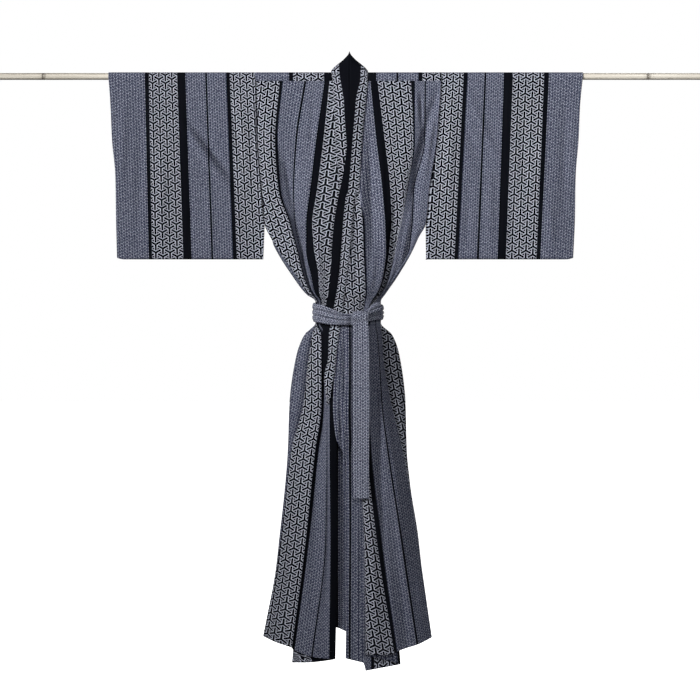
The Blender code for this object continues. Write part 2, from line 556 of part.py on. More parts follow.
def sleeve_points(side):
    """Grid of one sleeve: closed loops round the rod from the armhole to the cuff."""
    column = 0 if side == "left" else 1
    sign = -1 if side == "left" else 1
    grid = []
    for share in SLEEVE_STATIONS:
        front, back = [], []
        for z in SLEEVE_LEVELS:
            half = np.interp(-z, (0, -FLAT_TOP_Z), (CLOTH_RADIUS, SLEEVE_HALF_LOW))
            if -z > CUFF_OPENING:
                pinch = np.clip((share - SEWN_FROM) / (1 - SEWN_FROM), 0, 1)
                pinch *= np.clip((-z - CUFF_OPENING) / SEWN_REACH, 0, 1)
                half = half + (SEWN_HALF - half) * pinch
            lift_front = lift_back = 0.0
            for at, wide, lift_f, lift_b, top, bottom in SLEEVE_FOLDS:
                along = bump((z - (top + bottom) / 2) / ((top - bottom) / 2 + 1))
                lift_front += lift_f * bump((share - at) / wide) * along
                lift_back += lift_b * bump((share - at) / wide) * along
            front.append((z, -half - lift_front))
            back.append((z, half + lift_back))
        top_arc = []
        for turn in np.radians(ROD_ARC):
            top_arc.append((CLOTH_RADIUS * np.sin(turn), CLOTH_RADIUS * np.cos(turn)))
        low = max(back[-1][1], SEWN_HALF)
        corner = CORNER_RISE * np.clip((share - CORNER_FROM) / (1 - CORNER_FROM), 0, 1)
        bottom_arc = []
        for turn in np.radians(LOW_ARC):
            bottom_arc.append((-SLEEVE_DROP + corner + low + low * np.sin(turn), low * np.cos(turn)))
        ring = top_arc + [(z, y) for z, y in back] + bottom_arc + [(z, y) for z, y in front[::-1]]
        points = []
        for z, y in ring:
            if z > ARMHOLE_LOW[0][0]:
                inner = table(BODY, min(z, 0))[0][2 + column] + sign * GAP
            else:
                inner = table(ARMHOLE_LOW, z)[0][column] + sign * GAP
            outer = table(CUFF, min(z, 0))[0][column]
            points.append(np.array((inner + (outer - inner) * share, y, z)))
        grid.append(np.array(points))
    return np.array(grid)


# Sleeves: wide tubes, open at the armhole side and at the cuff.
cloth("sleeve_left", sleeve_points("left"), "cloth", closed=True)
cloth("sleeve_right", sleeve_points("right"), "cloth", closed=True)


def collar_points():
    """Grid of the collar band: left end, up the left front, round the neck, down to the right end."""
    halves = []
    for inner_rows, x_rows, in_rows, seam, overlap, levels in (
        (COLLAR_LEFT_INNER, LEFT_X, LEFT_IN, -1, OVERLAP_LEFT, COLLAR_LEFT_LEVELS),
        (COLLAR_RIGHT_INNER, RIGHT_X, RIGHT_IN, 0, OVERLAP_RIGHT, COLLAR_RIGHT_LEVELS),
    ):
        half = []
        for z in levels:
            x_edge = table(x_rows, z)[0][seam]
            depth = table(in_rows, z)[0][seam]
            if z < overlap[0][0]:
                values = table(overlap, z)[0]
                x_edge = values[3]
                depth = depth + values[7]
            x_in, lift = table(inner_rows, z)[0]
            outer = front_point(x_edge, depth - COLLAR_LAP, z)
            inner = front_point(x_in, depth - COLLAR_LAP - lift, z)
            half.append((outer, inner))
        halves.append(half)
    neck_left, neck_right = [], []
    radius = CLOTH_RADIUS + NECK_LAP
    for x, turn, drop, ux, uy, uz in NECK:
        angle = np.radians(turn)
        outer = np.array((x, -radius * np.cos(angle), radius * np.sin(angle) - drop))
        upper = np.array((ux, uy, uz))
        neck_right.append((outer, upper))
        neck_left.append((outer * (-1, 1, 1), upper * (-1, 1, 1)))
    stations = halves[0] + neck_left + neck_right[-2::-1] + halves[1][::-1]
    grid = []
    for outer, inner in stations:
        grid.append(np.array([outer + (inner - outer) * share for share in COLLAR_SHARES]))
    return np.array(grid)


cloth("collar", collar_points(), "collar_cloth")


def belt_points():
    """Grid of the band round the waist: a row per turn, pleated along its length."""
    across = BELT_RIDGES * 2 + 1
    grid = []
    for i in range(BELT_AROUND):
        turn = 360.0 * i / BELT_AROUND
        top, bottom = table(BELT, turn)[0]
        angle = np.radians(turn)
        points = []
        for j in range(across):
            z = top + (bottom - top) * j / (across - 1)
            front, back, left, right, _ = table(BODY, np.clip(z, -618, -561))[0]
            half = (right - left) / 2 + BELT_STAND
            middle = (right + left) / 2
            deep = (back if np.sin(angle) > 0 else front) + BELT_STAND
            ridge = BELT_RIDGE * (1 if j % 2 else -1)
            s, c = np.sin(angle), np.cos(angle)
            shape_x = np.sign(c) * abs(c) ** BELT_ROUNDNESS
            shape_y = np.sign(s) * abs(s) ** BELT_ROUNDNESS
            points.append(np.array((middle + (half + ridge) * shape_x, (deep + ridge) * shape_y, z)))
        grid.append(points)
    return np.transpose(np.array(grid), (1, 0, 2))


cloth("belt_band", belt_points(), "belt_cloth", closed=True, wall=BELT_WALL)


def tail_points():
    """Grid of the hanging end: flat, with low pleats along it."""
    grid = []
    for z, left, right, y in TAIL:
        points = []
        for j in range(TAIL_LINES):
            x = left + (right - left) * j / (TAIL_LINES - 1)
            points.append(np.array((x, y - TAIL_PLEAT * (j % 2), z)))
        grid.append(points)
    return np.array(grid)


cloth("belt_tail", tail_points(), "belt_cloth")


def short_end_points():
    """Grid of the short end: a strip lying against the band, folded along its middle."""
    grid = []
    for x, y, z, half, lean in SHORT_END:
        points = []
        for share in SHORT_END_ACROSS:
            fold = SHORT_END_FOLD * (1 - share * share)
            points.append(np.array((x - SHORT_END_SLANT * half * share, y - lean * share - fold,
                                    z + half * share)))
        grid.append(np.array(points))
    return np.array(grid)


cloth("belt_short_end", short_end_points(), "belt_cloth")


def knot_points():
    """Rings of the half knot: a cushion crossed by the pleats of the belt."""
    rings_of = []
    for i in range(1, KNOT_RINGS):
        polar = np.pi * i / KNOT_RINGS
        ring = []
        for j in range(KNOT_AROUND):
            turn = 2 * np.pi * j / KNOT_AROUND
            swell = 1 + KNOT_RIDGE / KNOT_HALF[2] * np.cos(KNOT_PLEATS * turn + KNOT_TWIST * np.cos(polar))
            x = KNOT_HALF[0] * np.cos(polar)
            r = np.sin(polar) ** KNOT_FULLNESS * swell
            ring.append(np.array((KNOT_CENTRE[0] + x, KNOT_CENTRE[1] + KNOT_HALF[1] * r * np.cos(turn),
                                  KNOT_CENTRE[2] + KNOT_HALF[2] * r * np.sin(turn))))
        rings_of.append(ring)
    return rings_of


knot_rings = knot_points()
knot_all = [np.array(KNOT_CENTRE) + np.array((KNOT_HALF[0], 0, 0))]
for ring in knot_rings:
    knot_all.extend(ring)
knot_all.append(np.array(KNOT_CENTRE) - np.array((KNOT_HALF[0], 0, 0)))
knot_faces = [(0, 1 + j, 1 + (j + 1) % KNOT_AROUND) for j in range(KNOT_AROUND)]
for i in range(len(knot_rings) - 1):
    for j in range(KNOT_AROUND):
        a = 1 + i * KNOT_AROUND + j
        b = 1 + i * KNOT_AROUND + (j + 1) % KNOT_AROUND
        knot_faces.append((a, a + KNOT_AROUND, b + KNOT_AROUND, b))
last = len(knot_all) - 1
base = 1 + (len(knot_rings) - 1) * KNOT_AROUND
knot_faces.extend((last, base + (j + 1) % KNOT_AROUND, base + j) for j in range(KNOT_AROUND))
knot = add_mesh("belt_knot", knot_all, knot_faces)
knot.data.materials.append(MATERIALS["belt_cloth"])
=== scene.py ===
"""A cotton yukata hanging by its sleeves on a bamboo rod, tied at the waist with its own cloth belt.

Tables of cloth and rod are in millimetres from the middle of the rod's axis: x to the right, y to the
back, z up. Meshes are made in metres in the same frame.
"""

import bpy
import numpy as np
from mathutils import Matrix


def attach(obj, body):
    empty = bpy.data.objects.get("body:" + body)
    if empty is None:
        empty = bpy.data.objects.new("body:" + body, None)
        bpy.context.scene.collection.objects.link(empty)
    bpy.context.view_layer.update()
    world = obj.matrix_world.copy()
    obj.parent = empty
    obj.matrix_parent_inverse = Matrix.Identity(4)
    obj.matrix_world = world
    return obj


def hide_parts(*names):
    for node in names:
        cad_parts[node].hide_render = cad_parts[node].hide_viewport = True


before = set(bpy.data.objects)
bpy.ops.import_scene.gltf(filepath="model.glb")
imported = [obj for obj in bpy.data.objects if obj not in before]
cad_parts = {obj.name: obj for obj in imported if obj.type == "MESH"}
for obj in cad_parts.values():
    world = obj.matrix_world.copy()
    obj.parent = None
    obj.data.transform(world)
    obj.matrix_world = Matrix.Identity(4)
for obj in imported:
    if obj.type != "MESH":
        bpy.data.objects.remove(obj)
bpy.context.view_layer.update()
MM = 0.001

# Bamboo rod
# A seasoned bamboo pole, 17 mm thick, pushed through both sleeves and under the neck. Its joints stand
# up as low rings with a groove beside each, and its cut ends show the hollow of the cane.
ROD_HALF_LENGTH = 910.0
ROD_RADIUS = 8.5
ROD_SIDES = 48
ROD_RINGS = (-764.0, -466.0, -165.0, 140.0, 445.0, 747.0)
# one ring of the bamboo: distance along the rod, height over the cane, darkness
RING_PROFILE = ((-16, 0.0, 0.0), (-6, 0.05, 0.2), (-2.8, 0.15, 0.7), (-1.8, -0.35, 1.0), (-0.6, -0.1, 1.0),
                (0.4, 0.38, 0.6), (1.6, 0.36, 0.1), (2.4, -0.1, 0.7), (3.4, -0.12, 0.5), (7, 0.0, 0.1),
                (18, 0.0, 0.0))
RING_REACH = 18.0  # the profile takes in so much of the cane on each side
CANE_WAIST = 0.12  # the cane is so much thinner half way between two rings
CANE_HOLLOW = 3.6
CANE_HOLLOW_DEEP = 30.0
SAWN_EDGE = 0.5


class Sums:
    """Adds nodes to one material's tree and joins them up."""

    def __init__(self, tree):
        self.tree = tree

    def node(self, kind, inputs=(), **settings):
        made = self.tree.nodes.new(kind)
        for key, value in settings.items():
            setattr(made, key, value)
        self.feed(made, inputs)
        return made

    def feed(self, node, inputs):
        """Joins or sets inputs of a node."""
        for key, value in dict(inputs).items():
            if isinstance(value, bpy.types.NodeSocket):
                self.tree.links.new(value, node.inputs[key])
            else:
                node.inputs[key].default_value = value

    def math(self, operation, *terms):
        return self.node("ShaderNodeMath", dict(enumerate(terms)), operation=operation).outputs[0]

    def times(self, first, second):
        return self.math("MULTIPLY", first, second)

    def plus(self, first, second):
        return self.math("ADD", first, second)

    def minus(self, first, second):
        return self.math("SUBTRACT", first, second)

    def size(self, value):
        return self.math("ABSOLUTE", value)

    def reach(self, x, y):
        """Length of the way x, y."""
        return self.math("SQRT", self.plus(self.times(x, x), self.times(y, y)))

    def blend(self, share, first, second):
        """Mixes two values."""
        return self.plus(self.times(first, self.minus(1.0, share)), self.times(second, share))

    def step(self, value, low, high, to_low=0.0, to_high=1.0):
        """A smooth step from to_low at low to to_high at high."""
        made = self.node("ShaderNodeMapRange", {0: value, 1: low, 2: high, 3: to_low, 4: to_high},
                         interpolation_type="SMOOTHSTEP")
        return made.outputs[0]

    def mix(self, share, first, second):
        """Mixes two colours."""
        made = self.node("ShaderNodeMix", {0: share, 6: first, 7: second}, data_type="RGBA")
        return made.outputs[2]

    def noise(self, place, scale, detail=2.0, roughness=0.5):
        made = self.node("ShaderNodeTexNoise", {"Vector": place, "Scale": scale, "Detail": detail,
                                               "Roughness": roughness})
        return made.outputs["Fac"]

    def stretched(self, place, scale):
        made = self.node("ShaderNodeMapping", {"Vector": place, "Scale": scale})
        return made.outputs[0]


def new_material(name):
    """An empty material with its Principled shader and the writer of its nodes."""
    material = bpy.data.materials.new(name)
    material.use_nodes = True
    shader = material.node_tree.nodes["Principled BSDF"]
    return material, shader, Sums(material.node_tree)


def new_mesh(name, points, faces):
    """A mesh object at the origin, from points in millimetres."""
    mesh = bpy.data.meshes.new(name)
    mesh.from_pydata((np.asarray(points, dtype=float) * MM).tolist(), [], faces)
    mesh.polygons.foreach_set("use_smooth", [True] * len(mesh.polygons))
    mesh.update()
    piece = bpy.data.objects.new(name, mesh)
    bpy.context.scene.collection.objects.link(piece)
    return piece


def bamboo():
    """Pale dry cane: streaks along its length, dark grooves at its rings, a dull waxy skin."""
    material, shader, sums = new_material("bamboo_cane")
    place = sums.node("ShaderNodeTexCoord").outputs["Object"]
    streaks = sums.noise(sums.stretched(place, (6.0, 520.0, 520.0)), 1.0, 5.0, 0.62)
    patches = sums.noise(sums.stretched(place, (3.2, 30.0, 30.0)), 1.0, 3.0)
    age = sums.noise(sums.stretched(place, (1.1, 4.0, 4.0)), 1.0, 1.0)
    ring = sums.node("ShaderNodeAttribute", attribute_name="ring").outputs["Fac"]
    cane = sums.mix(sums.step(streaks, 0.3, 0.7), (0.28, 0.25, 0.20, 1), (0.64, 0.60, 0.52, 1))
    cane = sums.mix(sums.step(patches, 0.42, 0.75, 0.0, 0.55), cane, (0.38, 0.34, 0.28, 1))
    cane = sums.mix(sums.step(age, 0.35, 0.62, 0.0, 0.45), cane, (0.74, 0.70, 0.63, 1))
    # painted shade: the cane is painted darker on its top and its underside than along its front and back
    parts = sums.node("ShaderNodeSeparateXYZ", {0: place})
    painted_shade_height = sums.times(sums.size(parts.outputs[2]), 1 / MM)
    cane = sums.mix(sums.step(painted_shade_height, 3.0, 8.2, 0.0, 0.75), cane, (0.17, 0.145, 0.11, 1))
    # dark joints at the rings, and painted shade inside the hollow of each cut end
    cane = sums.mix(sums.times(ring, 0.95), cane, (0.05, 0.036, 0.025, 1))
    rough = sums.step(patches, 0.3, 0.7, 0.36, 0.58)
    height = sums.node("ShaderNodeBump", {"Height": streaks, "Strength": 0.25, "Distance": 0.0004})
    sums.feed(shader, {"Base Color": cane, "Roughness": rough, "Normal": height.outputs[0]})
    return material


def bamboo_rod():
    """The cane turned about its axis, with a hollow in each cut end."""
    end = -ROD_HALF_LENGTH
    # the hollow of each cut end is painted dark as shade, darkest at its bottom
    sawn_end = [(end + CANE_HOLLOW_DEEP, 0.05, 1.0), (end + CANE_HOLLOW_DEEP, CANE_HOLLOW, 1.0),
                (end + 1, CANE_HOLLOW, 0.7), (end, CANE_HOLLOW + 0.4, 0.2),
                (end, ROD_RADIUS - SAWN_EDGE, 0.1), (end + SAWN_EDGE, ROD_RADIUS, 0.1)]
    line = list(sawn_end)
    knots = [end + SAWN_EDGE, *ROD_RINGS, -end - SAWN_EDGE]
    for at, after in zip(knots, knots[1:]):
        if at in ROD_RINGS:
            line.extend((at + along, ROD_RADIUS + high, dark) for along, high, dark in RING_PROFILE)
        for share in (0.15, 0.3, 0.5, 0.7, 0.85):
            waist = CANE_WAIST * np.sin(np.pi * share)
            line.append((at + RING_REACH + (after - at - 2 * RING_REACH) * share, ROD_RADIUS - waist, 0.0))
    line.extend((-along, radius, dark) for along, radius, dark in sawn_end[::-1])
    points, joint_dark_and_hollow_shade, faces = [], [], []
    for along, radius, dark in line:
        for side in range(ROD_SIDES):
            turn = 2 * np.pi * side / ROD_SIDES
            points.append((along, radius * np.cos(turn), radius * np.sin(turn)))
            joint_dark_and_hollow_shade.append(dark)
    for row in range(len(line) - 1):
        for side in range(ROD_SIDES):
            a, b = row * ROD_SIDES + side, row * ROD_SIDES + (side + 1) % ROD_SIDES
            faces.append((a, b, b + ROD_SIDES, a + ROD_SIDES))
    faces.append(tuple(range(ROD_SIDES))[::-1])
    faces.append(tuple(range((len(line) - 1) * ROD_SIDES, len(line) * ROD_SIDES)))
    piece = new_mesh("bamboo_rod", points, faces)
    layer = piece.data.attributes.new("ring", "FLOAT", "POINT")
    layer.data.foreach_set("value", joint_dark_and_hollow_shade)
    piece.data.materials.append(bamboo())
    return piece


rod = bamboo_rod()
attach(rod, "root")
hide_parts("rod")

# Left front
# The front panel on the left, of yarn-dyed striped cotton in the bolt's full width: bands of tripod
# weave and of fine net between plain black stripes. It is sewn to the back along the shoulder and the
# side, and its inner part is turned back on itself in the skirt.
CLOTH = 0.6  # thickness of the woven cotton
UV_UNIT = 2000.0  # millimetres of cloth to one unit of the cloth's own map
TOP_Z = -12.15
HEM_Z = -1430.0
HEM_START = -1235.0  # the panels' hems spread from here down
FLAT_TOP_Z = -371.0  # above this level the body hangs flat between the sleeves
ROUND_BELOW_Z = -500.0
FLAT_EDGE = 0.95
# z, depth of the front, depth of the back, outline left and right, depth at the side edges
BODY = (
    (0, 10.2, 10.2, -236, 230, 10.2),
    (-159, 15, 14, -231, 218, 8.4),
    (-285, 21, 18, -221, 199, 7.0),
    (-371, 26, 22, -212, 190, 6.0),
    (-400, 28.3, 24.4, -199.5, 175, 3.0),
    (-434, 31, 27, -183, 160, FLAT_EDGE),
    (-496, 38, 34, -144, 124, FLAT_EDGE),
    (-545, 44, 40, -107, 90, FLAT_EDGE),
    (-561, 45, 40, -86.5, 79.5, FLAT_EDGE),
    (-618, 45, 40, -86.5, 79.5, FLAT_EDGE),
    (-645, 47, 44, -112, 106, FLAT_EDGE),
    (-700, 50, 50, -133, 125, FLAT_EDGE),
    (-821, 55, 58, -150, 140, FLAT_EDGE),
    (-930, 58, 63, -154, 143, FLAT_EDGE),
    (-1159, 67, 75, -176, 174, FLAT_EDGE),
    (-1430, 78, 90, -217, 207, FLAT_EDGE),
)
# samples of the mesh between one line of cloth and the next
LEFT_COUNTS = (8, 8, 6, 7, 6, 6, 5, 9, 8)
# x of each line of cloth: z, side, kikko_middle, kikko_end, tuck, thin_line, grey, black, fold, turned,
# seam
LEFT_X = (
    (-12, -236, -206, -174, -157, -110, -84, -62, -50, -45, -41),
    (-159, -231, -209, -186, -171, -133, -106, -83, -65, -50, -35),
    (-285, -221, -198, -177, -168, -140, -120, -98, -81, -53, -24),
    (-371, -212, -181, -148, -145, -136, -123, -108, -93, -58, -16),
    (-400, -198.5, -168, -141, -138, -131, -120, -108, -91, -59, -13),
    (-434, -177, -152, -131, -128, -124, -116, -108, -88, -60, -11),
    (-496, -134, -125, -116, -112, -109, -103, -96, -77, -61, -11),
    (-545, -103, -98, -94, -92, -89.5, -87, -84.5, -75, -62, -17),
    (-561, -85, -83.5, -82, -80, -77, -74.5, -72.5, -69, -60, -22),
    (-618, -85, -83.5, -82, -80, -77.5, -75.5, -73.8, -71, -63, -36),
    (-645, -93, -82, -71, -68.5, -65, -61.5, -58.5, -53.5, -50, -45),
    (-700, -102, -86, -70, -66, -61.5, -58.5, -55, -49, -50, -52),
    (-821, -116, -92, -70, -64, -56, -53, -49, -40, -51, -64),
    (-930, -144, -115, -85, -76, -56, -53, -49, -31.5, -57, -82),
    (-1159, -172, -141, -109, -101, -59, -53, -47, -30, -73, -116),
    (-1430, -216, -181, -143, -140, -93, -71, -50, -35, -91, -143),
)
# how far each line lies inside the front's outline, same columns
LEFT_IN = (
    (-12, 0, 0, 0, 0, 0, 0, 0, 0, 0, 0),
    (-159, 0, 0, 0, 3, 6, 1, 0, 0, 1, 2),
    (-285, 0, 0, 0, 8, 14, 3, 0, 0, 3, 6),
    (-371, 0, 0, 0, 6, 14, 11, 3, 0, 5, 8),
    (-434, 0, 0, 1, 11, 18, 11, 12, 0, 5, 9),
    (-496, 0, 0, 2, 16, 20, 10, 16, 1, 5, 9),
    (-545, 0, 1, 4, 14, 18, 10, 13, 1, 6, 10),
    (-561, 0, 1, 4, 12, 17, 12, 5, 2, 8, 12),
    (-618, 0, 1, 4, 12, 17, 12, 5, 2, 8, 12),
    (-645, 0, 0, 3, 13, 17, 11, 4, 4, 9, 13),
    (-700, 0, 0, 1, 12, 7, 5, 1, 5, 9, 14),
    (-821, 0, 0, 0, 10, 4, 3, 0, 4, 10, 15),
    (-930, 0, 0, 0, 9, 3, 3, 0, 5, 12, 16),
    (-1159, 0, 0, 0, 8, 3, 5, 0, 5, 13, 17),
    (-1430, 0, 0, 0, 8, 3, 6, 0, 6, 15, 20),
)
# place of each line across the bolt, same columns; the seams take in the rest of the cloth
LEFT_BOLT = (
    (-12, 15, 46, 77.5, 100, 140, 168, 193, 213.5, 216, 218),
    (-159, 32, 55, 77.5, 100, 140, 168, 193, 213.5, 226, 237),
    (-285, 33, 55, 77.5, 95, 140, 168, 193, 213.5, 235, 255),
    (-371, 14, 45, 77.5, 90, 140, 168, 193, 213.5, 240, 270),
    (-434, 28, 53, 77.5, 95, 140, 168, 193, 213.5, 246, 280),
    (-496, 57, 67, 77.5, 100, 140, 168, 193, 213.5, 250, 291),
    (-545, 65, 71.5, 77.5, 105, 140, 168, 193, 213.5, 252, 291),
    (-561, 65, 71.5, 77.5, 105, 140, 168, 193, 213.5, 252, 291),
    (-618, 60, 69, 77.5, 88, 140, 168, 193, 213.5, 200, 186),
    (-645, 52, 65, 77.5, 84, 140, 168, 193, 213.5, 200, 186),
    (-821, 26, 52, 77.5, 86, 140, 168, 193, 213.5, 190, 160),
    (-930, 16, 46, 77.5, 88, 140, 168, 193, 213.5, 188, 155),
    (-1159, 13, 45, 77.5, 87, 140, 168, 193, 213.5, 188, 155),
    (-1380, 5, 42, 77.5, 82, 140, 168, 193, 213.5, 190, 160),
    (-1430, 4, 41, 77.5, 81, 140, 168, 193, 213.5, 212, 291),
)
LEFT_HEM = (-1399, -1411, -1422, -1427, -1443, -1446, -1447, -1448, -1458, -1461)
# Creases of the body, on the fronts and on the backs: x and z of one end and the other, half width, lift
FRONT_CREASES = (
    (-204, -60, -200, -330, 15, 4.0), (-186, -120, -166, -250, 9, -4.5), (-168, -170, -143, -320, 9, -7.0),
    (-143, -300, -100, -530, 9, -7.0), (-124, -60, -132, -330, 14, 3.6), (-96, -190, -120, -420, 12, 4.0),
    (-122, -310, -104, -480, 9, 4.0), (-88, -40, -104, -260, 10, -3.0), (-80, -330, -72, -520, 8, 3.0),
    (-44, -200, -58, -500, 10, 3.6), (-70, -260, -80, -440, 7, -3.0),
    (50, -150, 58, -420, 12, -7.0), (28, -190, 34, -480, 10, 4.6), (78, -130, 86, -420, 11, 4.6),
    (229, -10, 190, -150, 15, -10.0), (193, -130, 166, -230, 13, -8.0), (168, -210, 160, -330, 11, -5.0),
    (216, -50, 186, -240, 11, 6.0), (162, -300, 118, -520, 10, 5.0), (176, -8, 181, -130, 5, -4.0),
    (166, -12, 170, -110, 5, 3.0), (156, -16, 152, -90, 6, -2.4), (68, -420, 52, -540, 9, 4.0),
    (116, -300, 88, -520, 9, -6.0), (138, -120, 130, -300, 10, 3.0), (8, -330, -4, -520, 8, 3.0),
    (-14, -380, -26, -545, 7, -3.2), (20, -400, 12, -545, 6, -3.0), (-60, -430, -56, -550, 6, -3.0),
    (-100, -660, -126, -930, 11, -8.0), (-84, -650, -104, -1120, 9, 3.6), (-62, -660, -72, -960, 7, -5.0),
    (-150, -930, -176, -1330, 14, -8.0), (-128, -980, -150, -1420, 11, 3.4),
    (-78, -1010, -98, -1420, 12, -9.0), (-58, -900, -68, -1300, 9, 4.4),
    (58, -640, 74, -930, 9, -7.0), (44, -690, 56, -1080, 8, 4.0),
    (88, -660, 116, -960, 9, -5.0), (70, -930, 96, -1340, 13, -7.0), (112, -960, 142, -1320, 12, 4.6),
    (140, -880, 168, -1260, 10, -5.0), (58, -1120, 68, -1450, 10, 4.0), (30, -1080, 26, -1400, 9, -3.0),
    (-16, -720, -14, -1030, 7, 3.0), (160, -1160, 190, -1420, 11, 4.0), (-192, -1180, -208, -1420, 10, 3.0),
    (-8, -700, -4, -1300, 4, -2.4), (-21, -790, -20, -965, 6, -8.0), (-13, -634, -12, -880, 8, -5.0),
    (14, -1060, 10, -1420, 5, -2.0), (124, -1220, 146, -1430, 10, -4.0),
)
# Flat creases left by folding for storage run straight across: z, tilt, half width, lift
STORAGE_CREASES = ((-236, 0.012, 6.0, 1.9), (-340, -0.010, 5.5, -1.9), (-742, 0.006, 6.0, 1.2),
                   (-1037, -0.016, 6.0, 2.0), (-1116, 0.012, 5.5, -2.0), (-1187, 0.020, 6.0, 1.7))
STORAGE_WAVE = 37.0  # their depth comes and goes along them
CREASE_TOP = (-24.0, -70.0)  # creases grow in between these heights
CREASE_BELT = (-545.0, -634.0)  # and lie flat under the belt
CREASE_EASE = 24.0
CREASE_ENDS = 0.35  # a crease keeps this share of its lift at its ends
# at the armhole seams one edge is pressed over the other
SEAM_SUNK = 3.0
SEAM_RAISED = 1.8
SEAM_EASE = 30.0
SEAM_COLUMNS = 2.6  # columns of the mesh that the pressed edge takes
FLAT_COLUMNS = 4.0  # and the columns beside a seam in which the creases fade
BELT_EDGES = (-561.0, -618.0)
ROW_STEP = 8.5
END_ROWS = (1.2, 3.0)  # closer rows at the two ends of a panel


def smooth(t, first, second, way_in, way_out):
    """A smooth curve from first to second, with its directions at both."""
    return ((2 * t**3 - 3 * t**2 + 1) * first + (t**3 - 2 * t**2 + t) * way_in
            + (3 * t**2 - 2 * t**3) * second + (t**3 - t**2) * way_out)


def table(rows, z):
    """Columns of a table at a value of its first column, by a smooth curve without overshoot."""
    rows = np.array(rows, dtype=float)
    if rows[0, 0] > rows[-1, 0]:
        rows = rows[::-1]
    at, values = rows[:, 0], rows[:, 1:]
    z = np.clip(np.atleast_1d(np.asarray(z, dtype=float)), at[0], at[-1])
    step = np.diff(at)[:, None]
    slope = np.diff(values, axis=0) / step
    tangent = np.zeros_like(values)
    same = slope[:-1] * slope[1:] > 0
    w1 = 2 * step[1:] + step[:-1]
    w2 = step[1:] + 2 * step[:-1]
    safe0 = np.where(same, slope[:-1], 1.0)
    safe1 = np.where(same, slope[1:], 1.0)
    tangent[1:-1] = np.where(same, (w1 + w2) / (w1 / safe0 + w2 / safe1), 0.0)
    tangent[0] = slope[0]
    tangent[-1] = slope[-1]
    k = np.clip(np.searchsorted(at, z, side="right") - 1, 0, len(at) - 2)
    h = step[k]
    t = (z - at[k])[:, None] / h
    return smooth(t, values[k], values[k + 1], h * tangent[k], h * tangent[k + 1])


def bump(t):
    """A soft hump: 1 at t = 0, 0 beyond t = 1."""
    t = np.clip(np.abs(t), 0.0, 1.0)
    return (1 - t * t) ** 2


def section_curve(points, counts):
    """A smooth curve through the points of one section, with so many samples in each span."""
    points = np.asarray(points, dtype=float)
    p = np.vstack([2 * points[0] - points[1], points, 2 * points[-1] - points[-2]])
    out = []
    for i, count in enumerate(counts):
        a, b, c, d = p[i], p[i + 1], p[i + 2], p[i + 3]
        ka = max(np.linalg.norm((b - a)[:3]), 1e-6) ** 0.5
        kb = max(np.linalg.norm((c - b)[:3]), 1e-6) ** 0.5
        kc = max(np.linalg.norm((d - c)[:3]), 1e-6) ** 0.5
        m1 = kb * ((b - a) / ka - (c - a) / (ka + kb) + (c - b) / kb)
        m2 = kb * ((c - b) / kb - (d - b) / (kb + kc) + (d - c) / kc)
        t = (np.arange(count) / count)[:, None]
        curve = smooth(t, b, c, m1, m2)
        curve[:, 3:] = (b + (c - b) * t)[:, 3:]
        out.append(curve)
    return np.vstack([*out, points[-1:]])


def side_x(side, z):
    """x of the fronts' outer edges: along the armholes above, along the side seams below."""
    if z >= FLAT_TOP_Z:
        return table(BODY, z)[0][2 if side == "left" else 3]
    return table(LEFT_X, z)[0][0] if side == "left" else table(RIGHT_X, z)[0][-1]


def front_depth(xs, z):
    """Distance of the front's outline in front of the rod's axis, at each x and height z."""
    depth, _, _, _, edge = table(BODY, z)[0]
    left, right = side_x("left", z), side_x("right", z)
    t = np.clip((np.asarray(xs) - (left + right) / 2) / ((right - left) / 2), -1, 1)
    power = np.interp(z, (ROUND_BELOW_Z, FLAT_TOP_Z), (0.6, 1.0))
    return edge + (depth - edge) * (1 - t * t) ** power


def crease_lift(x, z, creases):
    """Height of the soft creases at each point, zero at the rod, under the belt and at the side seams."""
    lift = np.zeros_like(x)
    for x0, z0, x1, z1, half, high in creases:
        dx, dz = x1 - x0, z1 - z0
        t = np.clip(((x - x0) * dx + (z - z0) * dz) / (dx * dx + dz * dz), 0, 1)
        away = np.hypot(x - x0 - t * dx, z - z0 - t * dz)
        lift += high * bump(away / half) * (CREASE_ENDS + (1 - CREASE_ENDS) * bump(2 * t - 1))
    for level, tilt, half, high in STORAGE_CREASES:
        away = (z - level - tilt * x) / half
        lift += high * np.exp(-away * away) * (0.6 + 0.4 * np.sin(x / STORAGE_WAVE + level))
    lift *= np.interp(-z, (-CREASE_TOP[0], -CREASE_TOP[1]), (0, 1))
    high_z, low_z = CREASE_BELT
    lift *= 1 - np.interp(z, (low_z - CREASE_EASE, low_z, high_z, high_z + CREASE_EASE), (0, 1, 1, 0))
    return lift


def to_hem(z, hem):
    """Height of one line of cloth, so that a panel's lower rows follow its own hem."""
    if z > HEM_START:
        return z
    return HEM_START + (z - HEM_START) * (hem - HEM_START) / (HEM_Z - HEM_START)


def soften(grid, side):
    """Moves a front's cloth by its creases, with nothing at its side seam, and presses its armhole edge."""
    x, z = grid[..., 0], grid[..., 2]
    columns = np.arange(grid.shape[1])
    near = columns if side == "left" else columns[::-1]
    grid[..., 1] -= crease_lift(x, z, FRONT_CREASES) * np.clip(near / FLAT_COLUMNS, 0, 1)[None, :]
    sunk = SEAM_SUNK if side == "left" else -SEAM_RAISED
    armhole = np.interp(z, (FLAT_TOP_Z, FLAT_TOP_Z + SEAM_EASE), (0, 1))
    grid[..., 1] += sunk * bump(near / SEAM_COLUMNS)[None, :] * armhole
    return grid


def panel_rows(top):
    """Heights of a body panel's rows, with rows at the belt's edges and closer rows at its two ends."""
    count = int(round((top - HEM_Z) / ROW_STEP))
    inner = np.linspace(top, HEM_Z, count + 1)[1:-1]
    ends = [end for near in (0.0, *END_ROWS) for end in (top - near, HEM_Z + near)]
    return np.sort(np.concatenate([inner, ends, BELT_EDGES]))[::-1]


BODY_ROWS = panel_rows(TOP_Z)


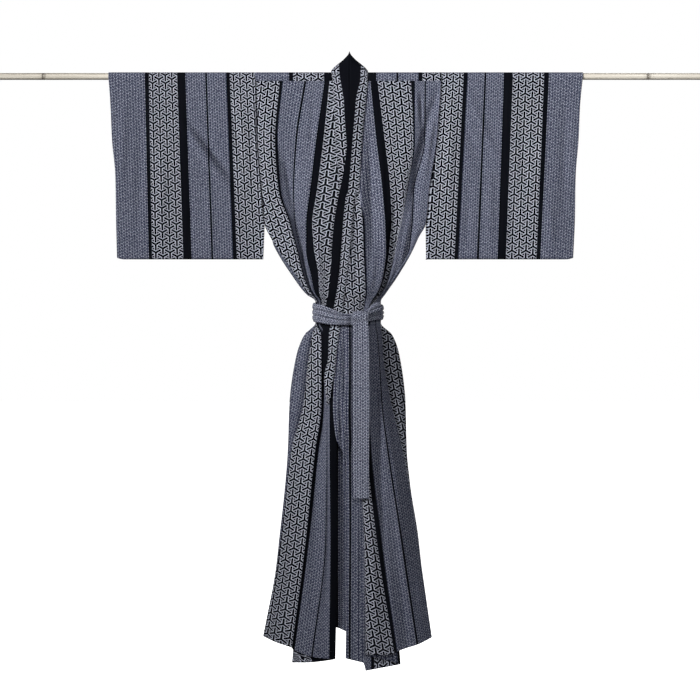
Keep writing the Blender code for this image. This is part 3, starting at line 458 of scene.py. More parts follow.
def panel(side, x_rows, in_rows, bolt_rows, hems, counts):
    """Grid of one front, a row of x, y, z, place across the bolt and place along it per level."""
    side_column = 0 if side == "left" else -1
    grid = []
    for z in BODY_ROWS:
        xs = table(x_rows, z)[0]
        xs[side_column] = side_x(side, z)
        ys = table(in_rows, z)[0] - front_depth(xs, z)
        zs = [to_hem(z, hem) for hem in hems]
        across = table(bolt_rows, z)[0]
        points = np.stack([xs, ys, zs, across, np.full(len(xs), -z)], axis=1)
        grid.append(section_curve(points, counts))
    return soften(np.array(grid), side)


# bands of the bolt from one selvedge to the other: weave and width
BOLT = (("kikko", 77.5), ("black", 10.0), ("net", 50.0), ("black", 5.0), ("net", 50.0), ("black", 21.0),
        ("kikko", 77.5), ("black", 10.0), ("net", 82.5))
KIKKO_PITCH = 17.6  # from one column of tripods to the next
KIKKO_REPEAT = 20.1  # along the cloth
KIKKO_FROM_EDGE = 10.0  # the last column of tripods stands so far inside its band
KIKKO_STEM = 6.5  # half length of a tripod's leg
KIKKO_ARM = (5.4, 2.9)  # half of a tripod's arm, across and along the cloth
NET_SCALE = 0.36  # the net is the same figure, woven so much smaller
BAND_SOFT = 0.5  # the edge of a band is lost over this half width
YARN_PITCH = 1.3
BLACK_YARN = (0.0024, 0.0028, 0.0045, 1)
INDIGO_YARN = (0.0105, 0.0135, 0.034, 1)
PALE_YARN = (0.43, 0.45, 0.53, 1)


def tripods(sums, across, along, wander):
    """Distance of each point from the nearest line of the tripod figure, in millimetres at full size."""
    half = KIKKO_REPEAT / 2
    column = sums.math("ROUND", sums.math("DIVIDE", across, KIKKO_PITCH))
    x = sums.size(sums.minus(across, sums.times(column, KIKKO_PITCH)))
    odd = sums.math("PINGPONG", column, 1.0)
    y = sums.minus(along, sums.times(odd, half))
    stem_y = sums.math("WRAP", sums.plus(y, KIKKO_STEM), half, -half)
    nearest = sums.reach(x, sums.math("MAXIMUM", sums.minus(sums.size(stem_y), KIKKO_STEM), 0.0))
    arm_x, arm_y = KIKKO_ARM
    for middle_x, middle_y, step_x in ((arm_x, arm_y, arm_x), (KIKKO_PITCH - arm_x, half + arm_y, -arm_x)):
        px = sums.minus(x, middle_x)
        py = sums.math("WRAP", sums.minus(y, middle_y), half, -half)
        t = sums.plus(sums.times(px, step_x), sums.times(py, arm_y))
        t = sums.math("DIVIDE", t, arm_x * arm_x + arm_y * arm_y)
        t = sums.math("MINIMUM", sums.math("MAXIMUM", t, -1.0), 1.0)
        arm = sums.reach(sums.minus(px, sums.times(t, step_x)), sums.minus(py, sums.times(t, arm_y)))
        nearest = sums.math("MINIMUM", nearest, arm)
    return sums.plus(nearest, wander)


def cotton(name, bands, net_full=1.0):
    """Yarn-dyed cotton, matt and plain woven, with its bands laid across the cloth's own map."""
    material, shader, sums = new_material(name)
    lay = sums.node("ShaderNodeUVMap", uv_map="cloth_lay").outputs[0]
    parts = sums.node("ShaderNodeSeparateXYZ", {0: lay})
    across = sums.times(parts.outputs[0], UV_UNIT)
    along = sums.times(parts.outputs[1], UV_UNIT)
    yarn_place = sums.stretched(lay, (UV_UNIT, UV_UNIT, 1.0))
    slub = sums.noise(sums.stretched(yarn_place, (0.45, 0.9, 1.0)), 1.0, 2.0)
    wander = sums.math("MULTIPLY_ADD", slub, 1.0, -0.5)
    mottle = sums.noise(sums.stretched(yarn_place, (0.30, 0.16, 1.0)), 1.0, 3.0, 0.6)

    # the net: the same figure, small and half hidden among indigo yarns
    small = tripods(sums, sums.math("DIVIDE", across, NET_SCALE), sums.math("DIVIDE", along, NET_SCALE),
                    sums.times(wander, 2.4))
    light = sums.times(sums.step(small, 2.0, 3.8, 0.0, 0.58),
                       sums.step(mottle, 0.28, 0.72, 0.30 * net_full, 1.60 * net_full))
    yarn_dark = INDIGO_YARN

    # the shares of a point that lie in a tripod band and in a black one
    shares = {"kikko": None, "black": None}
    figure_x = None
    first = 0.0
    for kind, width in bands:
        if kind in shares:
            off = sums.size(sums.minus(across, first + width / 2))
            here = sums.step(off, width / 2 - BAND_SOFT, width / 2 + BAND_SOFT, 1.0, 0.0)
            before = shares[kind]
            shares[kind] = here if before is None else sums.math("MAXIMUM", before, here)
            if kind == "kikko":
                moved = sums.minus(across, first + width - KIKKO_FROM_EDGE)
                figure_x = moved if before is None else sums.blend(here, figure_x, moved)
        first += width
    in_kikko, in_black = shares["kikko"], shares["black"]
    if in_kikko is not None:
        near = tripods(sums, figure_x, along, wander)
        drawn = sums.times(sums.step(near, 2.2, 2.9), sums.step(near, 3.3, 4.2, 1.0, 0.02))
        drawn = sums.times(drawn, sums.step(slub, 0.2, 0.8, 0.86, 1.06))
        light = sums.blend(in_kikko, light, drawn)
        yarn_dark = sums.mix(in_kikko, INDIGO_YARN, BLACK_YARN)
    if in_black is not None:
        light = sums.times(light, sums.minus(1.0, in_black))
        yarn_dark = sums.mix(in_black, yarn_dark, BLACK_YARN)
    streak = sums.noise(sums.stretched(yarn_place, (1.1, 0.02, 1.0)), 1.0, 2.0)
    light = sums.times(light, sums.step(streak, 0.2, 0.8, 0.93, 1.06))
    colour = sums.mix(light, yarn_dark, PALE_YARN)
    faded = sums.noise(sums.stretched(yarn_place, (0.008, 0.005, 1.0)), 1.0, 2.0)
    colour = sums.mix(sums.step(faded, 0.35, 0.7, 0.0, 0.003), colour, (0.30, 0.31, 0.35, 1))
    warp, weft = (sums.math("SINE", sums.times(way, 2 * np.pi / YARN_PITCH)) for way in (across, along))
    height = sums.plus(sums.times(sums.times(warp, weft), 0.18), sums.times(light, 0.5))
    height = sums.plus(height, sums.times(mottle, 0.7))
    raised = sums.node("ShaderNodeBump", {"Height": height, "Strength": 0.35, "Distance": 0.0004})
    sums.feed(shader, {"Base Color": colour, "Roughness": sums.step(slub, 0.2, 0.8, 0.82, 0.95),
                       "Normal": raised.outputs[0], "Sheen Weight": 0.004, "Sheen Roughness": 0.5,
                       "Specular IOR Level": 0.02})
    return material


def cloth_piece(name, grid, material, node, wrap=False, left_out=None, thickness=CLOTH,
                lay=((1, 0), (1, 0))):
    """A thin woven sheet on a grid of x, y, z, place across and place along.

    wrap joins the last column to the first, left_out says which cells are cut away, and lay holds the
    turn and the shift of the two places on the cloth's own map.
    """
    rows, columns = grid.shape[:2]
    span = columns - 1 if wrap else columns
    faces, corners = [], []
    for i in range(rows - 1):
        for j in range(columns - 1):
            if left_out is not None and left_out(i, j):
                continue
            cell = ((i, j), (i, j + 1), (i + 1, j + 1), (i + 1, j))
            faces.append(tuple(row * span + column % span for row, column in cell))
            corners.extend(grid[row, column, 3:] for row, column in cell)
    used = sorted({index for face in faces for index in face})
    place = {index: at for at, index in enumerate(used)}
    points = grid[:, :span, :3].reshape(-1, 3)[used]
    faces = [tuple(place[index] for index in face) for face in faces]
    piece = new_mesh(name, points, faces)
    corners = np.array(corners)
    (turn_u, shift_u), (turn_v, shift_v) = lay
    corners = np.stack([shift_u + turn_u * corners[:, 0], shift_v + turn_v * corners[:, 1]], axis=1)
    lay_map = piece.data.uv_layers.new(name="cloth_lay")
    lay_map.uv.foreach_set("vector", (corners / UV_UNIT).astype(np.float32).ravel())
    wall = piece.modifiers.new("cloth", "SOLIDIFY")
    wall.thickness = thickness * MM
    wall.offset = 0.0
    wall.use_even_offset = True
    wall.use_quality_normals = True
    piece.data.materials.append(material)
    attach(piece, "root")
    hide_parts(node)
    return piece


# x: z, seam, grey, black, kikko, kikko_middle, kikko_end, black_end, grey_2, thin_line, grey_3, side
RIGHT_X = (
    (-12, 46, 49, 52, 70, 112, 153, 163, 175, 189, 211, 230),
    (-159, 32, 50, 67, 88, 122, 157, 163, 172, 188, 204, 218),
    (-285, 25, 52, 82, 102, 121, 139, 145, 150, 160, 182, 199),
    (-371, 33, 61, 89, 105, 116, 126, 130, 138, 156, 172, 190),
    (-400, 34, 61, 90, 102, 111, 119, 123, 131, 153, 164, 174),
    (-434, 35, 62, 91, 99, 106, 113, 116, 124, 149, 154, 158),
    (-496, 38, 62, 84, 89, 93.5, 98, 101, 106, 112, 117, 122),
    (-545, 40, 57, 67, 70.5, 73.5, 76.5, 79, 81, 83.5, 86, 88),
    (-561, 38, 49, 55, 58, 61, 64, 67, 70, 73, 75.5, 78),
    (-618, 33, 34, 35, 37, 41, 46, 51, 57, 65, 71, 78),
    (-645, 38, 34, 29, 27, 33, 40, 45, 55, 69, 75, 81),
    (-700, 44, 33, 20, 17, 25, 34, 42, 55, 74, 79, 84),
    (-821, 61, 46, 24, 21, 30, 39, 48, 64, 81, 94, 105),
    (-930, 77, 56, 28, 26, 35, 44, 54, 73, 95, 113, 132),
    (-1159, 101, 71, 38, 37, 52, 68, 80, 102, 130, 151, 171),
    (-1430, 127, 82, 42, 41, 76, 111, 118, 141, 169, 188, 206),
)

bolt_cotton = cotton("striped_cotton", BOLT)
left_grid = panel("left", LEFT_X, LEFT_IN, LEFT_BOLT, LEFT_HEM, LEFT_COUNTS)
front_left = cloth_piece("front_panel_left", left_grid, bolt_cotton, "front_left")

# Right front
# The front panel on the right, cut from the same bolt, with its inner part folded under so that the
# tripod band runs along the fold in the skirt. It is sewn to its overlap along the inner edge.
RIGHT_COUNTS = (6, 6, 5, 8, 8, 4, 6, 6, 5, 6)
# how far each line lies inside the front's outline
RIGHT_IN = (
    (-12, 0, 0, 0, 0, 0, 0, 0, 0, 0, 0, 0),
    (-159, -1, 0, 0, 0, 0, 0, 1, 3, 7, 1, 0),
    (-285, -1, 3, 0, 1, 3, 4, 6, 8, 11, 1, 0),
    (-371, -1, 5, 0, 4, 10, 11, 8, 8, 10, 1, 0),
    (-434, -1, 5, 0, 6, 15, 14, 9, 7, 7, 1, 0),
    (-496, -1, 4, 0, 7, 22, 20, 9, 5, 5, 1, 0),
    (-545, -1, 2, 0, 7, 26, 24, 7, 2, 4, 1, 0),
    (-561, 5, 3, 2, 6, 20, 18, 6, 3, 5, 2, 0),
    (-618, 10, 7, 4, 2, 5, 9, 4, 4, 3, 2, 0),
    (-645, 12, 10, 7, 3, 0, 5, 2, 5, 2, 3, 0),
    (-700, 12, 11, 9, 4.5, 0, 4, 1, 5, 0, 3, 0),
    (-821, 13, 12, 9, 4.5, 0, 4, 0, 5, 0, 3, 0),
    (-930, 14, 12, 9.5, 5, 0, 4, 0, 5, 0, 3, 0),
    (-1159, 15, 13, 10, 5, 0, 3, 0, 5, 0, 4, 0),
    (-1430, 18, 15, 11, 5, 0, 3, 1, 6, 0, 5, 0),
)
RIGHT_BOLT = (
    (-12, 48, 51, 55, 76, 115, 153.5, 163.5, 186, 216, 240, 258),
    (-159, 22, 38, 55, 76, 111, 147, 163.5, 189, 216, 240, 262),
    (-285, 10, 30, 55, 76, 95.5, 115, 163.5, 189, 216, 240, 265),
    (-371, 0, 28, 55, 76, 87, 98, 163.5, 189, 216, 240, 265),
    (-434, 0, 28, 55, 76, 83, 90.5, 163.5, 189, 216, 240, 265),
    (-545, 0, 30, 55, 76, 80, 84, 163.5, 189, 216, 240, 265),
    (-618, 0, 30, 55, 140, 147, 153.5, 163.5, 189, 216, 240, 265),
    (-930, 0, 30, 55, 134, 144, 153.5, 163.5, 189, 216, 240, 265),
    (-1159, 0, 30, 55, 121, 137, 153.5, 163.5, 189, 216, 240, 265),
    (-1430, 0, 30, 55, 80, 117, 153.5, 163.5, 189, 216, 240, 265),
)
RIGHT_HEM = (-1463, -1450, -1440, -1437, -1438, -1436, -1431, -1424, -1416, -1409, -1402)
# this panel's part of the bolt, from its seam to its side
RIGHT_BANDS = (("black", 5.0), ("net", 50.0), ("black", 21.0), ("kikko", 77.5), ("black", 10.0),
               ("net", 50.0), ("black", 5.0), ("net", 50.0))

right_cotton = cotton("striped_cotton_right_front", RIGHT_BANDS)
right_grid = panel("right", RIGHT_X, RIGHT_IN, RIGHT_BOLT, RIGHT_HEM, RIGHT_COUNTS)
front_right = cloth_piece("front_panel_right", right_grid, right_cotton, "front_right")

# Overlaps
# Narrow tapering panels of the same cotton, cut from one split width of the bolt. They are sewn behind
# the fronts' inner edges and cross one over the other at the waist. Each starts in a point under the
# collar and widens down to the hem.
OVERLAP_COUNTS = (10, 10, 10)
TIP_CLEAR = 12  # no row of the mesh lies nearer to the point than this
# x and the depth behind the seam: z, seam, inner, outer, free | seam, inner, outer, free
OVERLAP_LEFT = (
    (-300, -22, -20, -18.5, -17, 2.4, 2.4, 2.4, 2.4),
    (-371, -16, -12, -9, -5, 2.4, 2.5, 2.5, 2.5),
    (-434, -11, -7, -2, 2, 2.4, 2.5, 2.5, 2.5),
    (-496, -11, -6, 1, 9, 2.4, 2.5, 2.5, 2.5),
    (-545, -17, -11, -3, 6, 2.4, 2.5, 2.5, 2.5),
    (-561, -22, -17, -9, 0, 2.4, 2.5, 2.5, 2.5),
    (-618, -36, -28, -18, -7, 2.4, 3, 4, 4),
    (-645, -45, -37, -24, -10, 2.4, 4, 6, 6),
    (-700, -52, -40, -24, -10, 2.4, 5, 7, 7),
    (-821, -64, -46, -24, -5, 2.4, 8, 12, 12),
    (-930, -82, -55, -26, -1, 2.4, 5, 5, 3),
    (-1159, -116, -74, -34, 6, 2.4, 6, 5, 2),
    (-1430, -143, -99, -46, 6, 2.4, 6, 5, 2),
)
OVERLAP_LEFT_HEM = (-1460, -1418, -1371, -1388)
OVERLAP_RIGHT = (
    (-292, 25.0, 21.5, 18, 14.5, 2.0, 2.0, 2.0, 2.0),
    (-371, 33, 25, 17, 8, 2.0, 2, 2, 2),
    (-434, 35, 24, 12, 1, 2.0, 2, 2, 2),
    (-496, 38, 24, 9, -6, 2.0, 2, 2, 2),
    (-545, 40, 24, 6, -12, 2.0, 2, 1, 1),
    (-561, 38, 22, 5, -14, 2.0, 2, 2, 1.5),
    (-618, 33, 20, 2, -20, 2.4, 1, -2, -4),
    (-645, 38, 27, 2, -26, 2.4, 3, -4, -9),
    (-700, 44, 32, 2, -33, 2.4, 3, -4, -11),
    (-821, 61, 38, 2, -41, 2.4, 3, -5, -13),
    (-900, 73, 42, 4, -34, 2.4, 2, -5, -13),
    (-960, 80, 44, 12, -8, 2.4, 0, -3, -4),
    (-1159, 101, 46, 16, -6, 2.4, 0, -3, -4),
    (-1430, 127, 40, 16, -10, 2.4, 0, -3, -5),
)
OVERLAP_RIGHT_HEM = (-1465, -1478, -1453, -1447)
# the right overlap's hem steps down where it is folded under: x, z
FOLDED_HEM = ((-10, -1447), (36.0, -1459), (38.5, -1479), (127, -1465))
# place across the bolt: z, seam, inner, outer, free
# below the belt the left overlap's black stripe lies in the gap beside the left front's fold; it is the
# bolt's own stripe and also stands in for the shade in that gap, as painted shade
OVERLAP_LEFT_BOLT = (
    (-300, 150, 151, 153, 155), (-434, 150, 154, 159, 163), (-545, 150, 156, 164, 174),
    (-645, 210, 202, 189, 175), (-821, 229, 211, 189, 170), (-930, 247, 220, 191, 166),
    (-1159, 280, 238, 198.5, 158.5), (-1430, 290, 264, 211, 159),
)
OVERLAP_RIGHT_BOLT = (
    (-292, 0, 3, 7, 10), (-371, 0, 8, 16, 25), (-434, 0, 11, 23, 34), (-496, 0, 14, 29, 44),
    (-545, 0, 16, 34, 52), (-561, 0, 20, 40, 60), (-598, 0, 22, 44, 66), (-622, 0, 66, 140, 158),
    (-645, 0, 72, 140, 160), (-700, 0, 80, 140, 168), (-900, 0, 88, 138, 168), (-960, 0, 92, 130, 149),
    (-1159, 0, 102, 126, 148), (-1430, 0, 110, 124, 150),
)


def overlap(rows, hems, bolt_rows, seam_rows, seam_column):
    """Grid of one overlap, lapped behind the edge of its front."""
    grid = []
    tip = rows[0][0]
    for z in (tip, *(level for level in BODY_ROWS if level < tip - TIP_CLEAR)):
        values = table(rows, z)[0]
        base = table(seam_rows, z)[0][seam_column]
        ys = base + values[4:] - front_depth(values[:4], z)
        zs = [to_hem(z, hem) for hem in hems]
        across = table(bolt_rows, z)[0]
        points = np.stack([values[:4], ys, zs, across, np.full(4, -z)], axis=1)
        grid.append(section_curve(points, OVERLAP_COUNTS))
    grid = np.array(grid)
    grid[..., 1] -= crease_lift(grid[..., 0], grid[..., 2], FRONT_CREASES)
    return grid


left_overlap_grid = overlap(OVERLAP_LEFT, OVERLAP_LEFT_HEM, OVERLAP_LEFT_BOLT, LEFT_IN, -1)
overlap_left = cloth_piece("overlap_panel_left", left_overlap_grid, bolt_cotton, "overlap_left")
right_overlap_grid = overlap(OVERLAP_RIGHT, OVERLAP_RIGHT_HEM, OVERLAP_RIGHT_BOLT, RIGHT_IN, 0)
corner = np.interp(right_overlap_grid[-1, :, 0], *zip(*FOLDED_HEM)) / right_overlap_grid[-1, :, 2] - 1
lower = np.clip((HEM_START - right_overlap_grid[..., 2]) / (HEM_START - HEM_Z), 0, 1)
right_overlap_grid[..., 2] *= 1 + corner * lower
overlap_right = cloth_piece("overlap_panel_right", right_overlap_grid, bolt_cotton, "overlap_right",
                            lay=((1, 0), (-1, 1600)))

# Backs
# Two long panels of the striped cotton joined by the centre seam. They come over the rod to the
# shoulder seams, hang straight down behind, are drawn into pleats by the belt and fall open to the hem.
CLOTH_RADIUS = 10.2
SEAM_GAP = 0.15
SHOULDER_DROP = 11.85
# columns of the mesh, as shares of the half width; the last but one turns round to the side seam
BACK_SHARES = (
    0.0, 0.03, 0.06, 0.09, 0.115, 0.14, 0.16, 0.18, 0.205, 0.23, 0.265, 0.30, 0.34, 0.38, 0.41, 0.44, 0.47,
    0.50, 0.535, 0.57, 0.60, 0.63, 0.66, 0.69, 0.72, 0.75, 0.785, 0.82, 0.86, 0.90, 0.94,
)
WRAP_SHARE = 0.975
WRAP_FULL = 4.0  # past this width the turned edge reaches the outline
WRAP_DEEP = 5.5
WRAP_SLOPE = 0.8
# share from the middle, half width, depth, height of the middle, reach up and down
BACK_PLEATS = (
    (0.18, 0.075, 13, -590, 260, 520),
    (0.44, 0.085, 17, -595, 330, 640),
    (0.69, 0.080, 14, -585, 240, 470),
    (0.88, 0.070, 4, -600, 170, 330),
)
BACK_HEM_MIDDLE = -1378
BACK_HEM_SIDE = -1400
BACK_CREASES = (
    (-196, -50, -214, -330, 14, 2.2), (-150, -70, -172, -390, 16, -2.6), (-96, -110, -118, -440, 14, 2.2),
    (-52, -60, -60, -300, 12, -1.8), (38, -90, 50, -410, 13, 2.4), (92, -60, 104, -350, 15, -2.4),
    (146, -110, 150, -430, 12, 2.0), (198, -40, 186, -300, 12, -2.2), (-128, -380, -92, -530, 10, -2.2),
    (120, -400, 84, -530, 9, 2.0), (-40, -690, -52, -1060, 12, 2.4), (-108, -700, -132, -1080, 11, -2.8),
    (46, -680, 56, -990, 11, -2.4), (96, -720, 118, -1130, 12, 2.6), (-84, -1010, -104, -1350, 13, -2.2),
    (-150, -1080, -176, -1380, 12, 2.2), (20, -1010, 26, -1340, 12, 2.4), (74, -1060, 90, -1360, 12, -2.6),
    (136, -1000, 166, -1360, 13, 2.0), (-20, -760, -24, -1180, 9, -1.6),
)
# lengths of cloth from the shoulder seam at which it is sampled on its way over the rod
ROD_BACK = 43.9
OVER_ROD = np.concatenate([[0.0, 1.2, 3.0, 6.0, 9.0], np.linspace(SHOULDER_DROP, ROD_BACK, 13),
                           [46.0, 50.0]])
OVER_TOP = np.pi * CLOTH_RADIUS
HANGING_Z = -16.5  # from here down the back hangs free
BACK_ROWS = panel_rows(-12.0)
BACK_ROWS = BACK_ROWS[BACK_ROWS < HANGING_Z]
# the neck is cut out of the cloth over the rod, as wide as this share of the shoulders
NECK_SHARE = 0.18
NECK_ROWS = np.count_nonzero(OVER_ROD < ROD_BACK)
NECK_COLUMNS = np.count_nonzero(np.array(BACK_SHARES) < NECK_SHARE)
# At the shoulders each back is sewn on shifted: the place across the bolt at its middle there, and the
# height at which the shift has gone.
SHOULDER_PLACE = {"left": 233.5, "right": 259.5}
SHIFT_END_Z = -330.0
BACK_WIDTH = ((-1430, 296), (-560, 296), (-371, 250), (0, 238))  # z, width of cloth to the centre seam
EVEN_SHARE = 0.4  # beside the side seam this share of the cloth keeps its own measure
SEAM_FADE = 0.12  # share of the width over which the creases fade beside the side seam
MIDDLE_FADE = 6.0  # and beside the centre seam


def over_rod(x, length):
    """A point of the backs' cloth, at a length measured from the shoulder seam over the rod."""
    if length < SHOULDER_DROP:
        return (x, -CLOTH_RADIUS, length - SHOULDER_DROP)
    if length < SHOULDER_DROP + OVER_TOP:
        turn = (length - SHOULDER_DROP) / CLOTH_RADIUS
        return (x, -CLOTH_RADIUS * np.cos(turn), CLOTH_RADIUS * np.sin(turn))
    return (x, CLOTH_RADIUS, SHOULDER_DROP + OVER_TOP - length)


def run_length(first, second):
    """Length along a line of points, from its first point to each of them."""
    return np.concatenate([[0.0], np.cumsum(np.hypot(np.diff(first), np.diff(second)))])


def back_depth(share, z):
    """Depth of the back behind the rod's axis at a share of the half width."""
    _, depth, _, _, edge = table(BODY, z)[0]
    power = np.interp(z, (ROUND_BELOW_Z, FLAT_TOP_Z), (0.6, 1.0))
    y = edge + (depth - edge) * (1 - share * share) ** power
    for at, half, deep, middle, up, down in BACK_PLEATS:
        reach = up if z > middle else down
        y -= deep * bump((share - at) / half) * bump((z - middle) / reach)
    return y


def back(side):
    """Grid of one back: over the rod from the shoulder seam, then down to the hem."""
    sign = -1 if side == "left" else 1
    shares = np.array(BACK_SHARES + (WRAP_SHARE, 1.0))
    shoulder = SHOULDER_PLACE[side]
    grid = []
    for length in OVER_ROD:
        z = over_rod(0, length)[2]
        half_width = abs(side_x(side, min(z, 0)))
        row = []
        for share in shares:
            x = max(half_width * share, SEAM_GAP)
            row.append((*over_rod(sign * x, length), max(shoulder - x, 0.0), length - 2 * SHOULDER_DROP))
        grid.append(row)
    for z in BACK_ROWS:
        values = table(BODY, z)[0]
        outline = abs(values[2] if sign < 0 else values[3])
        seam = abs(side_x(side, z))
        wrap = max(outline - seam, 0.0) if z < FLAT_TOP_Z else 0.0
        edge = values[4]
        row = [[max(outline * share, SEAM_GAP), back_depth(share, z)] for share in BACK_SHARES]
        out_x = outline * (WRAP_SHARE + (1 - WRAP_SHARE) * min(wrap / WRAP_FULL, 1.0))
        row.append([out_x, edge + min(WRAP_DEEP, WRAP_SLOPE * wrap)])
        row.append([seam if wrap > 0 else outline, edge])
        xs, ys = np.array(row).T
        arc = run_length(xs, ys)
        even = EVEN_SHARE * arc[-1]
        across = np.interp(arc[-1] - arc, (0, even, arc[-1]), (0, even, np.interp(z, *zip(*BACK_WIDTH))))
        shift = np.clip((z - SHIFT_END_Z) / (HANGING_Z - SHIFT_END_Z), 0, 1)
        across += (np.maximum(shoulder - xs, 0) - across) * shift
        reach = np.minimum(xs / outline, 1.0)
        hems = BACK_HEM_MIDDLE + (BACK_HEM_SIDE - BACK_HEM_MIDDLE) * reach * reach
        zs = np.array([to_hem(z, hem) for hem in hems])
        lift = crease_lift(xs * sign, zs, BACK_CREASES)
        lift *= np.clip((1 - reach) / SEAM_FADE, 0, 1) * np.clip(xs / MIDDLE_FADE, 0, 1)
        grid.append(np.stack([xs * sign, ys + lift, zs, across, np.full(len(xs), OVER_TOP - z)], axis=1))
    return np.array([np.asarray(row, dtype=float) for row in grid])


def at_neck(row, column):
    """Whether a cell of the back's grid lies in the neck's opening."""
    return row < NECK_ROWS and column < NECK_COLUMNS


left_back_grid = back("left")
back_left = cloth_piece("back_panel_left", left_back_grid, bolt_cotton, "back_left", left_out=at_neck,
                        lay=((-1, 383.5), (-1, 1600)))
right_back_grid = back("right")
back_right = cloth_piece("back_panel_right", right_back_grid, bolt_cotton, "back_right", left_out=at_neck)

# Sleeves
# Two wide straight tubes, each one length of the bolt folded over the rod and sewn along its lower edge
# and the lower half of its cuff. They are set into the armholes down to the bottom of each armhole.
SLEEVE_DROP = 457.0
SLEEVE_HALF_LOW = 6.0
# z, x of the left and the right cuff; z, x of the sleeves' inner edges under the armholes
CUFF = (
    (0, -602, 583), (-69, -597, 576), (-159, -593, 572), (-249, -585, 565), (-339, -584, 564),
    (-458, -581, 559),
)
ARMHOLE_LOW = ((-371, -212, 190), (-458, -215.5, 191))
ARMHOLE_GAP = 0.3
ARMHOLE_PRESSED = 7.5  # width of the pressed edge along the armhole
CUFF_OPENING = 235.0
CUFF_PINCHED = (0.84, 60.0)  # the cuff's sewn half closes from this share of the sleeve, over this height
SEWN_HALF = 1.0
FOOT_ROUND = 0.2  # the fold at the lower seam stands out so far past both walls
CORNER = (0.95, 4.0)  # the lower corner at the cuff is rounded from this share on, by so much
SLEEVE_EDGE = 0.05  # share of the sleeve over which its creases fade at both ends
SLEEVE_FOOT = 22.0  # height over which they fade at the lower seam
SLEEVE_ROWS = np.arange(-6, -452, -8.0)
SLEEVE_STATIONS = np.concatenate([[0.0, 0.006, 0.014], np.linspace(0.03, 0.975, 64), [0.986, 0.994, 1.0]])
# share of the sleeve, half width, lift of the front and of the back, top and bottom
SLEEVE_FOLDS = (
    (0.10, 0.06, 2.6, -2.0, 0, -330),
    (0.36, 0.09, -1.6, 1.8, -40, -260),
    (0.70, 0.10, 1.8, 1.4, -120, -457),
)
# x of the bolt's lines on each sleeve, at the top and the bottom, and their places across the bolt
SLEEVE_LINES = {
    "left": (
        ((-602, 0), (-511, 82.5), (-501, 92.5), (-430.5, 170), (-409.5, 191), (-360, 241), (-356, 246),
         (-308, 296), (-299, 306), (-236, 375)),
        ((-583, 0), (-501, 82.5), (-493.5, 92.5), (-415, 170), (-394, 191), (-344.5, 241), (-340.5, 246),
         (-291, 296), (-281, 306), (-214.5, 375)),
    ),
    "right": (
        ((230, 18), (285, 77.5), (295, 87.5), (337, 137.5), (341.5, 142.5), (385, 192.5), (408, 213.5),
         (486, 291), (498, 301), (584, 380)),
        ((190.5, 8), (262, 77.5), (271.5, 87.5), (317.5, 137.5), (323.5, 142.5), (369.5, 192.5),
         (390.5, 213.5), (467, 291), (476.5, 301), (561, 383.5)),
    ),
}
# creases of each sleeve's front and of its back
SLEEVE_CREASES = {
    "left": (
        ((-415, -126, -300, -280, 17, 13.0), (-398, -112, -282, -260, 14, -9.0),
         (-300, -50, -264, -240, 11, -5.0), (-560, -40, -574, -300, 17, 4.0),
         (-520, -130, -530, -430, 16, -4.0), (-466, -190, -470, -440, 14, 3.4),
         (-352, -280, -344, -446, 13, 3.6), (-244, -30, -240, -330, 8, -3.6),
         (-392, -300, -402, -450, 11, -3.4), (-280, -280, -276, -446, 11, 3.0),
         (-500, -30, -492, -180, 12, 3.0)),
        ((-540, -60, -470, -260, 16, -4.4), (-400, -90, -330, -300, 14, 4.2),
         (-280, -110, -262, -380, 12, -4.0), (-500, -250, -496, -440, 14, 3.4),
         (-370, -300, -366, -440, 12, -3.2)),
    ),
    "right": (
        ((262, -50, 330, -230, 13, -4.4), (290, -30, 380, -230, 13, 4.6), (430, -80, 440, -340, 15, -4.0),
         (480, -60, 474, -300, 15, 3.6), (540, -60, 534, -340, 16, -4.0), (352, -240, 350, -446, 13, 3.4),
         (236, -30, 220, -320, 9, -4.6), (410, -300, 406, -450, 12, -3.2), (500, -300, 506, -444, 12, 3.2),
         (300, -260, 290, -446, 11, -3.0), (256, -120, 246, -400, 9, 3.4)),
        ((520, -50, 450, -250, 16, -4.2), (380, -80, 320, -290, 13, 4.2), (266, -90, 250, -360, 12, -4.0),
         (480, -240, 478, -440, 14, 3.4), (350, -290, 346, -440, 12, -3.2)),
    ),
}


def bolt_place(lines, x, z):
    """Place across the bolt of a sleeve's point, between its lines at the top and at the bottom."""
    share = np.clip(-z / SLEEVE_DROP, 0, 1)
    (top_x, places), (low_x, low_places) = (zip(*row) for row in lines)
    at = np.array(top_x) * (1 - share) + np.array(low_x) * share
    place = np.array(places) * (1 - share) + np.array(low_places) * share
    return np.interp(x, at, place)


def around(turn, radius):
    """Height and depth of a point on a round fold, from its turn in degrees above the back."""
    return radius * np.sin(np.radians(turn)), radius * np.cos(np.radians(turn))


